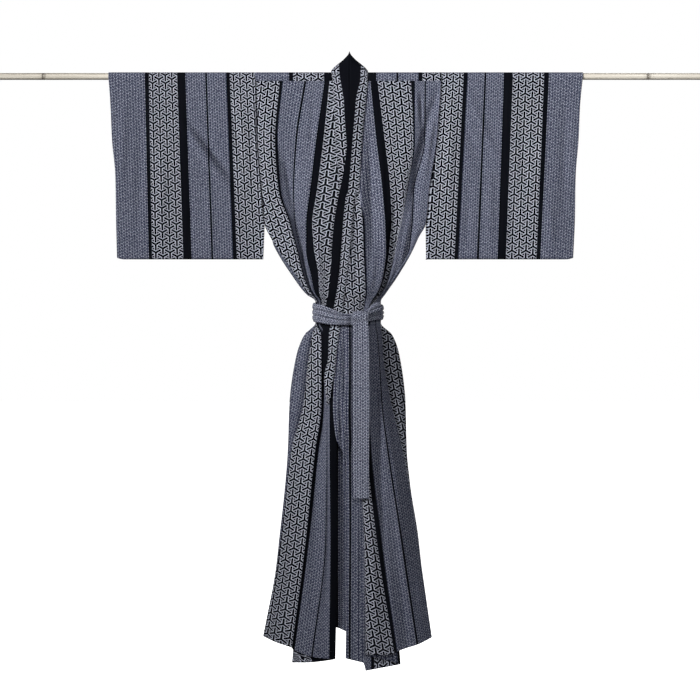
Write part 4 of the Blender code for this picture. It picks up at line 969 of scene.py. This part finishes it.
def sleeve(side):
    """Grid of one sleeve: loops from the lower seam up the front, over the rod and down the back."""
    column = 0 if side == "left" else 1
    sign = -1 if side == "left" else 1
    lines = SLEEVE_LINES[side]
    front_creases, back_creases = SLEEVE_CREASES[side]
    pressed = -SEAM_RAISED if side == "left" else SEAM_SUNK
    grid = []
    for share in SLEEVE_STATIONS:
        front, behind = [], []
        for z in SLEEVE_ROWS:
            half = np.interp(-z, (0, -FLAT_TOP_Z), (CLOTH_RADIUS, SLEEVE_HALF_LOW))
            if -z > CUFF_OPENING:
                first, high = CUFF_PINCHED
                pinch = np.clip((share - first) / (1 - first), 0, 1)
                pinch = pinch * np.clip((-z - CUFF_OPENING) / high, 0, 1)
                half = half + (SEWN_HALF - half) * pinch
            lift_front = lift_back = 0.0
            for at, wide, lift_f, lift_b, top, bottom in SLEEVE_FOLDS:
                along = bump((z - (top + bottom) / 2) / ((top - bottom) / 2 + 1))
                lift_front += lift_f * bump((share - at) / wide) * along
                lift_back += lift_b * bump((share - at) / wide) * along
            front.append((z, -half, -lift_front, 1))
            behind.append((z, half, lift_back, -1))
        low = half + FOOT_ROUND
        foot = -SLEEVE_DROP + CORNER[1] * np.clip((share - CORNER[0]) / (1 - CORNER[0]), 0, 1) ** 2 + low
        ring = []
        for turn in (-90, -125, -155):
            up, deep = around(turn, low)
            ring.append((foot + up, deep, 0, 1))
        ring.extend(front[::-1])
        ring.extend((*around(turn, CLOTH_RADIUS), 0, 0) for turn in np.linspace(180, 0, 15))
        ring.extend(behind)
        for turn in (-25, -55, -90):
            up, deep = around(turn, low)
            ring.append((foot + up, deep, 0, -1))
        heights, depths, lifts, faces_front = np.array(ring).T
        z, y = np.minimum(heights, 0), depths + lifts
        upper = table(BODY, z)[:, 2 + column]
        lower = table(ARMHOLE_LOW, z)[:, column]
        inner = np.where(z > FLAT_TOP_Z, upper, lower) + sign * ARMHOLE_GAP
        outer = table(CUFF, z)[:, column]
        x = inner + (outer - inner) * share
        ease = np.clip(np.minimum(share, 1 - share) / SLEEVE_EDGE, 0, 1)
        sewn = np.clip((z + SLEEVE_DROP) / SLEEVE_FOOT, 0, 1)
        y = y - crease_lift(x, z, front_creases) * (faces_front > 0) * ease * sewn
        y = y + crease_lift(x, z, back_creases) * (faces_front < 0) * ease * sewn
        y = y + np.sign(faces_front) * pressed * bump(share * abs(outer - inner) / ARMHOLE_PRESSED)
        across = np.array([bolt_place(lines, px, pz) for px, pz in zip(x, z)])
        grid.append(np.stack([x, y, heights, across, run_length(heights, depths)], axis=1))
    return np.array(grid)


left_sleeve_grid = sleeve("left")
sleeve_left = cloth_piece("sleeve_panel_left", left_sleeve_grid, bolt_cotton, "sleeve_left", wrap=True,
                          lay=((-1, 383.5), (1, 0)))
right_sleeve_grid = sleeve("right")
sleeve_right = cloth_piece("sleeve_panel_right", right_sleeve_grid, bolt_cotton, "sleeve_right", wrap=True,
                           lay=((1, 0), (-1, 1000)))

# Collar band
# One long double band of the tripod stripe and the black beside it, sewn round the neck and down both
# crossing edges. It stands up behind the neck in a point, where it lies folded flat.
DOUBLE_CLOTH = 1.1
COLLAR_LAP = 2.3  # the band lies so far in front of the cloth that it is sewn to
NECK_LAP = 2.6
COLLAR_WIDE = 44.0
COLLAR_KIKKO = 24.0
COLLAR_BANDS = (("kikko", 24.0), ("black", 60.0))
# z, x of the band's inner edge, how far it lifts off the cloth
COLLAR_LEFT_INNER = (
    (-12, 0, 4), (-74, 0, 4), (-149, 4, 2), (-234, 14, 0), (-309, 26, 0), (-371, 36, 0), (-434, 42, 0),
    (-496, 46, 0), (-545, 42, 0), (-561, 34, 0), (-618, 26, -1), (-645, 20, -2), (-700, 18, -2),
    (-800, 15, -2),
)
COLLAR_RIGHT_INNER = (
    (-12, 0, 4), (-74, 0, 6), (-149, -4, 7), (-234, -14, 6), (-309, -29, 6), (-371, -39, 5), (-434, -44, 5),
    (-496, -47, 4), (-545, -53, 2), (-561, -57, 1), (-618, -64, 2), (-645, -68, 3), (-700, -68, 4),
    (-734, -66, 4), (-819, -60, 3),
)
# seam edge x, its turn round the rod in degrees, its height below that turn, upper edge x, y, z
NECK = (
    (44, 0, 0, 0.0, -13.0, 14),
    (45, 30, 0, 0.0, -11.5, 24),
    (46, 60, 0, 0.0, -9.5, 33),
    (46, 90, 0, 0.0, -7.5, 40),
    (45, 120, 0, 0.0, -5.5, 46),
    (42, 150, 0, 0.1, -3.5, 51),
    (34, 180, 1, 0.3, -1.5, 56),
    (17, 180, 3, 0.5, 0.5, 60),
    (0, 180, 3.5, 0.0, 3.0, 63),
)
NECK_BULGE = 9.0
# the right end is folded under to a point
COLLAR_END_X = -54.0
COLLAR_END_Z = -819.0
# share of the band's width that its tripods take, down the left and down the right
COLLAR_LEFT_SHARE = ((-800, 0.7), (-159, 0.687), (-12, 0.617))
COLLAR_RIGHT_SHARE = (
    (-819, 1.4), (-750, 0.95), (-700, 0.56), (-629, 0.6), (-566, 0.51), (-434, 0.49), (-371, 0.516),
    (-261, 0.59), (-159, 0.66), (-59, 0.62), (-12, 0.567),
)
COLLAR_ACROSS = np.linspace(0, 1, 21)
COLLAR_ROWS = 100  # down each front
COLLAR_ROLL = 0.8
COLLAR_FOLDED = (16.0, 80.0)  # heights over the right end at which it is still folded under
TIP_BLEND = 8.0  # height in which the collar passes from the front's edge to the overlap's
ROLL_EASE = 60.0  # below the rod the band's roll, its creases and its bulge come and go in this height
BULGE_WIDE = 30.0


def collar():
    """Grid of the collar band: left end, up the left front, round the neck, down to the right end."""
    halves = []
    for inner_rows, x_rows, in_rows, seam, overlap_rows in (
        (COLLAR_LEFT_INNER, LEFT_X, LEFT_IN, -1, OVERLAP_LEFT),
        (COLLAR_RIGHT_INNER, RIGHT_X, RIGHT_IN, 0, OVERLAP_RIGHT),
    ):
        half = []
        for z in np.linspace(inner_rows[-1][0], -12, COLLAR_ROWS):
            x_edge = table(x_rows, z)[0][seam]
            depth = table(in_rows, z)[0][seam]
            blend = np.clip((overlap_rows[0][0] - z) / TIP_BLEND, 0, 1)
            values = table(overlap_rows, z)[0]
            x_edge = x_edge + (values[3] - x_edge) * blend
            depth = depth + values[7] * blend
            x_in, lift = table(inner_rows, z)[0]
            if seam == 0:
                folded = np.interp(z - COLLAR_END_Z, (0, *COLLAR_FOLDED), (1, 0.62, 0))
                x_edge += (COLLAR_END_X + 2 - x_edge) * folded
                x_in += (COLLAR_END_X - 2 - x_in) * folded
            outer = (x_edge, depth - COLLAR_LAP - front_depth(x_edge, z), z)
            inner = (x_in, depth - COLLAR_LAP - lift - front_depth(x_in, z), z)
            half.append((np.array(outer), np.array(inner)))
        halves.append(half)
    radius = CLOTH_RADIUS + NECK_LAP
    neck = []
    for x, turn, drop, *upper in NECK:
        angle = np.radians(turn)
        neck.append((x, -radius * np.cos(angle), radius * np.sin(angle) - drop, *upper))
    neck = section_curve(neck, (4,) * (len(neck) - 1))
    neck = [(np.array(row[:3]), np.array(row[3:])) for row in neck]
    mirrored = [(outer * (-1, 1, 1), upper * (-1, 1, 1)) for outer, upper in neck]
    stations = halves[0] + mirrored + neck[-2::-1] + halves[1][::-1]
    round_neck = len(halves[0]) + len(mirrored)
    grid = []
    along = 0.0
    before = None
    for number, (outer, inner) in enumerate(stations):
        middle = (outer + inner) / 2
        along += 0.0 if before is None else np.linalg.norm(middle - before)
        before = middle
        x, y, z = np.array([outer + (inner - outer) * share for share in COLLAR_ACROSS]).T
        roll = COLLAR_ROLL * np.sin(np.pi * COLLAR_ACROSS) ** 0.7
        y = y - roll * np.clip(-z / ROLL_EASE, 0, 1)
        y = y - crease_lift(x, z, FRONT_CREASES) * np.clip((-z - ROLL_EASE) / ROLL_EASE, 0, 1)
        out = NECK_BULGE * np.clip((outer[2] + ROLL_EASE) / ROLL_EASE, 0, 1)
        out *= np.clip(outer[0] / BULGE_WIDE, -1, 1)
        x = x + out * np.sin(np.pi * COLLAR_ACROSS)
        share_rows = COLLAR_LEFT_SHARE if number < round_neck else COLLAR_RIGHT_SHARE
        kikko = table(share_rows, outer[2])[0][0]
        beyond = (COLLAR_WIDE - COLLAR_KIKKO) * (COLLAR_ACROSS - kikko) / max(1 - kikko, 0.01)
        across = np.where(COLLAR_ACROSS < kikko, COLLAR_KIKKO * COLLAR_ACROSS / kikko, COLLAR_KIKKO + beyond)
        grid.append(np.column_stack([x, y, z, across, np.full(len(x), along)]))
    return np.array(grid)


collar_cotton = cotton("collar_cotton", COLLAR_BANDS)
collar_grid = collar()
collar_band = cloth_piece("collar_band", collar_grid, collar_cotton, "collar", thickness=DOUBLE_CLOTH)

# Belt
# A long narrow strip of the net weave, folded lengthwise, wound round the waist and half knotted a
# little to the right. One end is turned up over the band, the other hangs down the front.
BELT_STAND = 3.3
BELT_ROUND = 0.85
# turn round the waist from the right side by way of the back, z of the band's top and bottom
BELT = (
    (0, -571, -607), (40, -568, -611), (90, -567, -612), (140, -566, -612), (180, -566, -612.5),
    (215, -570, -616), (245, -581, -621), (262, -592, -622), (280, -596, -621), (300, -588, -613),
    (330, -578, -608), (360, -571, -607),
)
BELT_STEPS = 240
BELT_ACROSS = np.linspace(0, 1, 49)
BELT_WIDE = 60.0  # cloth across the band, its pleats laid flat
BELT_MEASURED = 15  # the line of the band on which its length is measured
BAND_SWELL = (2.2, 3.0)  # how far the band swells all round, and how much more in front
# lengthwise pleats of the band, drawn together at the knot: share from its top away from the knot and
# beside it, half width, depth
BAND_PLEATS = ((0.37, 0.17, 0.10, 6.6), (0.66, 0.56, 0.09, 6.6), (0.90, 0.86, 0.06, 2.6))
PLEAT_PLACE = (0, 195, 272, 300, 360)  # turns between which a pleat's place changes
PLEAT_DRAWN = ((0, 200, 240, 300, 360), (0.45, 0.45, 1.0, 1.0, 0.45))  # share of its depth that it has
BAND_DEEPEST = -1.6
# x, y, z of its middle, half width, lean
SHORT_END = (
    (44.0, -54.9, -588.4, 3.5, 0.5), (52, -56.9, -585.0, 7.0, 1.5), (60, -56.9, -580.0, 9.5, 2.5),
    (70, -53.8, -576.0, 10.5, 3.0), (78.5, -48.8, -573.5, 8.5, 2.5),
)
# where the band dips under the knot, round the waist: turn, half width in degrees, depth
KNOT_VALLEY = (273.0, 3.6, 7.0)
# z, x of the left and the right edge, y
TAIL = (
    (-611, 8.5, 46, -62.0), (-640, 8, 48, -61.0), (-700, 8, 49, -58.5), (-800, 8, 49.5, -60.5),
    (-900, 8, 49, -63.5), (-980, 8.5, 48.5, -66.0), (-1052, 9, 48.5, -68.0),
)
TAIL_WIDE = 42.0
TAIL_HEM = 9.0
# share of the width, depth and half width of the tail's two pleats, which ease out below the knot
TAIL_PLEATS = ((0.30, 1.0, 0.16), (0.72, 0.9, 0.14))
TAIL_EASE = 330.0
KNOT_CENTRE = (27.5, -57.4, -600.0)
KNOT_HALF = (20.5, 8.2, 13.0)


def belt_band():
    """Grid of the band round the waist, pleated along its length."""
    grid = []
    along = 0.0
    before = None
    for turn in np.arange(BELT_STEPS + 1) * 360.0 / BELT_STEPS:
        top, bottom = table(BELT, turn)[0]
        angle = np.radians(turn)
        s, c = np.sin(angle), np.cos(angle)
        valley_at, valley_wide, valley_deep = KNOT_VALLEY
        valley = valley_deep * bump((turn - valley_at) / valley_wide)
        all_round, in_front = BAND_SWELL
        full = all_round + in_front * max(-s, 0.0) ** 0.5
        drawn = np.interp(turn, *PLEAT_DRAWN)
        row = []
        for share in BELT_ACROSS:
            z = top + (bottom - top) * share
            front, deep_back, left, right, _ = table(BODY, np.clip(z, BELT_EDGES[1], BELT_EDGES[0]))[0]
            half = (right - left) / 2 + BELT_STAND
            middle = (right + left) / 2
            deep = (deep_back if s > 0 else front) + BELT_STAND
            ridge = full - (full + 0.3) * (abs(2 * share - 1) ** 6)
            for at, near, wide, low in BAND_PLEATS:
                place = np.interp(turn, PLEAT_PLACE, (at, at, near, near, at))
                place += 0.02 * np.sin(angle * 3 + at * 20)
                uneven = 0.85 + 0.15 * np.sin(angle * 5 + at * 20)
                ridge -= low * bump((share - place) / wide) * drawn * uneven
            ridge = max(ridge - valley, BAND_DEEPEST)
            x = middle + (half + ridge) * np.sign(c) * abs(c) ** BELT_ROUND
            y = (deep + ridge) * np.sign(s) * abs(s) ** BELT_ROUND
            row.append((x, y, z))
        row = np.array(row)
        along += 0.0 if before is None else np.linalg.norm(row[BELT_MEASURED] - before)
        before = row[BELT_MEASURED]
        grid.append(np.column_stack([row, BELT_ACROSS * BELT_WIDE, np.full(len(row), along)]))
    return np.transpose(np.array(grid), (1, 0, 2))


belt_cotton = cotton("belt_net_cotton", (("net", 400.0),), 1.6)
band = cloth_piece("belt_waist_band", belt_band(), belt_cotton, "belt_band", wrap=True, thickness=1.0)


def belt_tail():
    """Grid of the hanging end: two soft pleats along it and a turned hem at its foot."""
    grid = []
    for z in np.linspace(TAIL[0][0], TAIL[-1][0], 90):
        left, right, y = table(TAIL, z)[0]
        eased = 0.45 + 0.55 * bump((z - TAIL[0][0]) / TAIL_EASE)
        turned = 0.3 if z < TAIL[-1][0] + TAIL_HEM else 0.0
        row = []
        for share in np.linspace(0, 1, 25):
            fold = sum(deep * bump((share - at) / wide) for at, deep, wide in TAIL_PLEATS) * eased
            drift = 0.25 * np.sin(z / 61.0 + share * 2.2)
            x = left + (right - left) * share
            row.append((x, y + fold - 0.5 + drift - turned, z, share * TAIL_WIDE, -z))
        grid.append(row)
    return np.array(grid)


tail = cloth_piece("belt_hanging_end", belt_tail(), belt_cotton, "belt_tail", thickness=1.0)


def belt_short_end():
    """Grid of the short end: a strip lying against the band, folded along its middle."""
    grid = []
    for x in np.linspace(SHORT_END[0][0], SHORT_END[-1][0], 33):
        y, z, half, lean = table(SHORT_END, x)[0]
        row = []
        for share in np.linspace(-1, 1, 17):
            fold = 2.4 * (1 - share * share) - 3.2 * bump((share + 0.2) / 0.32)
            up = half * share
            row.append((x - 0.3 * up, y - lean * share - fold, z + up, 20 * (share + 1), x))
        grid.append(row)
    return np.array(grid)


short_end = cloth_piece("belt_short_end_turned_up", belt_short_end(), belt_cotton, "belt_short_end",
                        thickness=0.9)


def belt_knot():
    """Grid of the half knot: the strip passed once round the band, its pleats fanning out over it."""
    grid = []
    for polar in np.linspace(0.04, np.pi - 0.04, 40):
        row = []
        for turn in np.linspace(0, 2 * np.pi, 61):
            pleat = np.cos(8 * polar + 1.2 * np.sin(turn)) + 0.5 * np.cos(13 * polar - 0.7 * np.cos(turn))
            r = np.sin(polar) ** 0.4 * (1 + 0.045 * pleat)
            way = np.array((np.cos(polar), r * np.cos(turn), r * np.sin(turn)))
            row.append((*(KNOT_CENTRE + KNOT_HALF * way), 21 * (1 - np.cos(polar)), 13 * turn))
        grid.append(row)
    return np.array(grid)


knot = cloth_piece("belt_half_knot", belt_knot(), belt_cotton, "belt_knot", wrap=True, thickness=0.9)

# Hand stitches
# Running stitches of black cotton thread, sewn by hand with a gap as long as the stitch. They hold the
# turned hems, the hems of the cuffs and the edge of the collar band.
STITCH_GAP = 0.0065  # metres, as the two below
STITCH_LONG = 0.0030
THREAD_RADIUS = 0.00028
STITCH_OUT = 0.42
COLLAR_STITCH_OUT = 0.75
HEM_ROW = -5  # counted from each grid's last row
CUFF_ROW = -4
FRONT_PART = slice(4, len(SLEEVE_ROWS) - 2)  # the sleeve's front, clear of its seam and of the rod
COLLAR_PARTS = (slice(10, 92), slice(-92, -10))  # the two straight parts of the collar


def stitch_tree(thread):
    """Small capsules set along each path: Path, spacing, stitch length and thread radius are its inputs."""
    tree = bpy.data.node_groups.new("running_stitches", "GeometryNodeTree")
    tree.interface.new_socket(name="Path", in_out="INPUT", socket_type="NodeSocketGeometry")
    for label in ("Spacing", "Stitch length", "Thread radius"):
        tree.interface.new_socket(name=label, in_out="INPUT", socket_type="NodeSocketFloat")
    tree.interface.new_socket(name="Stitches", in_out="OUTPUT", socket_type="NodeSocketGeometry")
    nodes, join = tree.nodes, tree.links.new
    source, result = nodes.new("NodeGroupInput"), nodes.new("NodeGroupOutput")
    line = nodes.new("GeometryNodeMeshToCurve")
    spaced = nodes.new("GeometryNodeResampleCurve")
    spaced.mode = "LENGTH"
    tangent = nodes.new("GeometryNodeInputTangent")
    turned = nodes.new("FunctionNodeAlignRotationToVector")
    turned.axis = "Z"
    stitch = nodes.new("GeometryNodeMeshCylinder")
    stitch.inputs["Vertices"].default_value = 6
    placed = nodes.new("GeometryNodeInstanceOnPoints")
    real = nodes.new("GeometryNodeRealizeInstances")
    dressed = nodes.new("GeometryNodeSetMaterial")
    dressed.inputs["Material"].default_value = thread
    join(source.outputs["Path"], line.inputs[0])
    join(line.outputs[0], spaced.inputs["Curve"])
    join(source.outputs["Spacing"], spaced.inputs["Length"])
    join(tangent.outputs[0], turned.inputs["Vector"])
    join(source.outputs["Stitch length"], stitch.inputs["Depth"])
    join(source.outputs["Thread radius"], stitch.inputs["Radius"])
    join(spaced.outputs[0], placed.inputs["Points"])
    join(stitch.outputs["Mesh"], placed.inputs["Instance"])
    join(turned.outputs[0], placed.inputs["Rotation"])
    join(placed.outputs[0], real.inputs[0])
    join(real.outputs[0], dressed.inputs["Geometry"])
    join(dressed.outputs[0], result.inputs[0])
    return tree


def thread_material():
    """Black cotton sewing thread, twisted and slightly waxy."""
    material, shader, sums = new_material("sewing_thread")
    place = sums.node("ShaderNodeTexCoord").outputs["Object"]
    twist = sums.noise(place, 2600.0, 1.0)
    colour = sums.mix(twist, (0.006, 0.007, 0.010, 1), (0.022, 0.024, 0.032, 1))
    sums.feed(shader, {"Base Color": colour, "Roughness": sums.step(twist, 0.3, 0.7, 0.55, 0.75)})
    return material


def stitches(name, paths, tree):
    """Makes a piece of stitches along paths of points in millimetres."""
    points, edges = [], []
    for path in paths:
        edges.extend((len(points) + i, len(points) + i + 1) for i in range(len(path) - 1))
        points.extend(path)
    mesh = bpy.data.meshes.new(name + "_path")
    mesh.from_pydata((np.array(points) * MM).tolist(), edges, [])
    sewn = bpy.data.objects.new(name + "_path", mesh)
    bpy.context.scene.collection.objects.link(sewn)
    steps = sewn.modifiers.new("stitches", "NODES")
    steps.node_group = tree
    wanted = {"Spacing": STITCH_GAP, "Stitch length": STITCH_LONG, "Thread radius": THREAD_RADIUS}
    for socket in tree.interface.items_tree:
        if socket.in_out == "INPUT" and socket.name in wanted:
            steps[socket.identifier] = wanted[socket.name]
    graph = bpy.context.evaluated_depsgraph_get()
    made = bpy.data.meshes.new_from_object(sewn.evaluated_get(graph))
    bpy.data.objects.remove(sewn, do_unlink=True)
    made.name = name
    piece = bpy.data.objects.new(name, made)
    bpy.context.scene.collection.objects.link(piece)
    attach(piece, "root")


def lifted(line, out):
    """A path along one line of a piece's grid, moved along y off its face."""
    return line[:, :3] + (0.0, out, 0.0)


stitching = stitch_tree(thread_material())
hem_paths = [lifted(grid[HEM_ROW], -STITCH_OUT) for grid in (left_grid, right_grid, right_overlap_grid)]
hem_paths += [lifted(grid[HEM_ROW], STITCH_OUT) for grid in (left_back_grid, right_back_grid)]
stitches("hem_stitches", hem_paths, stitching)
sleeve_grids = (left_sleeve_grid, right_sleeve_grid)
cuff_paths = [lifted(grid[CUFF_ROW, FRONT_PART], -STITCH_OUT) for grid in sleeve_grids]
stitches("cuff_stitches", cuff_paths, stitching)
collar_paths = [lifted(collar_grid[part, 1], -COLLAR_STITCH_OUT) for part in COLLAR_PARTS]
stitches("collar_stitches", collar_paths, stitching)

# Floor, light and camera
# A pale studio floor well below the hem, broad soft lights in front and above, and a long lens level
# with the middle of the garment.
FLOOR_Z = -1620.0
FLOOR_HALF = 40000.0
CAMERA_AWAY = 6.5
VIEW_WIDE = 1.75
VIEW_MIDDLE = (0.00125, -0.68375)
SENSOR_WIDE = 36.0
camera_data = bpy.data.cameras.new("camera")
camera_data.sensor_width = SENSOR_WIDE
camera_data.lens = SENSOR_WIDE * CAMERA_AWAY / VIEW_WIDE
camera_data.clip_end = 200.0
camera = bpy.data.objects.new("camera", camera_data)
camera.location = (VIEW_MIDDLE[0], -CAMERA_AWAY, VIEW_MIDDLE[1])
camera.rotation_euler = (np.pi / 2, 0.0, 0.0)
bpy.context.scene.collection.objects.link(camera)
bpy.context.scene.camera = camera

floor_corners = [(x * FLOOR_HALF, y * FLOOR_HALF, FLOOR_Z) for x, y in ((-1, -1), (1, -1), (1, 1), (-1, 1))]
floor = new_mesh("studio_floor", floor_corners, [(0, 1, 2, 3)])
floor_material, floor_shader, floor_sums = new_material("pale_floor")
grain = floor_sums.noise(floor_sums.node("ShaderNodeTexCoord").outputs["Object"], 3.0, 3.0)
floor_colour = floor_sums.mix(grain, (0.84, 0.84, 0.84, 1), (0.88, 0.88, 0.88, 1))
floor_seen = floor_sums.node("ShaderNodeLightPath").outputs["Is Camera Ray"]
floor_sums.feed(floor_shader, {"Base Color": floor_colour, "Roughness": 0.9, "Emission Color": (1, 1, 1, 1),
                               "Emission Strength": floor_sums.times(floor_seen, 1.3)})
floor.data.materials.append(floor_material)

world = bpy.data.worlds.new("studio")
bpy.context.scene.world = world
world.use_nodes = True
sky = Sums(world.node_tree)
seen = sky.node("ShaderNodeLightPath").outputs["Is Camera Ray"]
sky.feed(world.node_tree.nodes["Background"], {"Color": (1.0, 1.0, 1.0, 1.0),
                                               "Strength": sky.math("MULTIPLY_ADD", seen, 0.94, 0.06)})


def soft_light(name, place, target, size, power, spread=180):
    """A square studio soft box, its spread in degrees."""
    data = bpy.data.lights.new(name, "AREA")
    data.shape = "SQUARE"
    data.size = size
    data.energy = power
    data.spread = np.radians(spread)
    lamp = bpy.data.objects.new(name, data)
    lamp.location = place
    aim = np.array(target) - np.array(place)
    yaw = np.arctan2(aim[0], -aim[1])
    pitch = np.arctan2(np.hypot(aim[0], aim[1]), -aim[2])
    lamp.rotation_euler = (pitch, 0.0, np.pi + yaw)
    bpy.context.scene.collection.objects.link(lamp)


soft_light("key_light", (-4.2, -3.9, 1.5), (0.55, 0.0, 0.25), 0.8, 42.0, 44)
soft_light("fill_light", (1.4, -4.2, 1.2), (0.45, 0.0, -0.7), 1.4, 11.0, 60)
soft_light("back_light", (0.8, 3.2, 1.2), (0.0, 0.0, -0.6), 2.2, 80.0)
bpy.context.scene.view_settings.view_transform = "Standard"
bpy.context.scene.view_settings.look = "None"
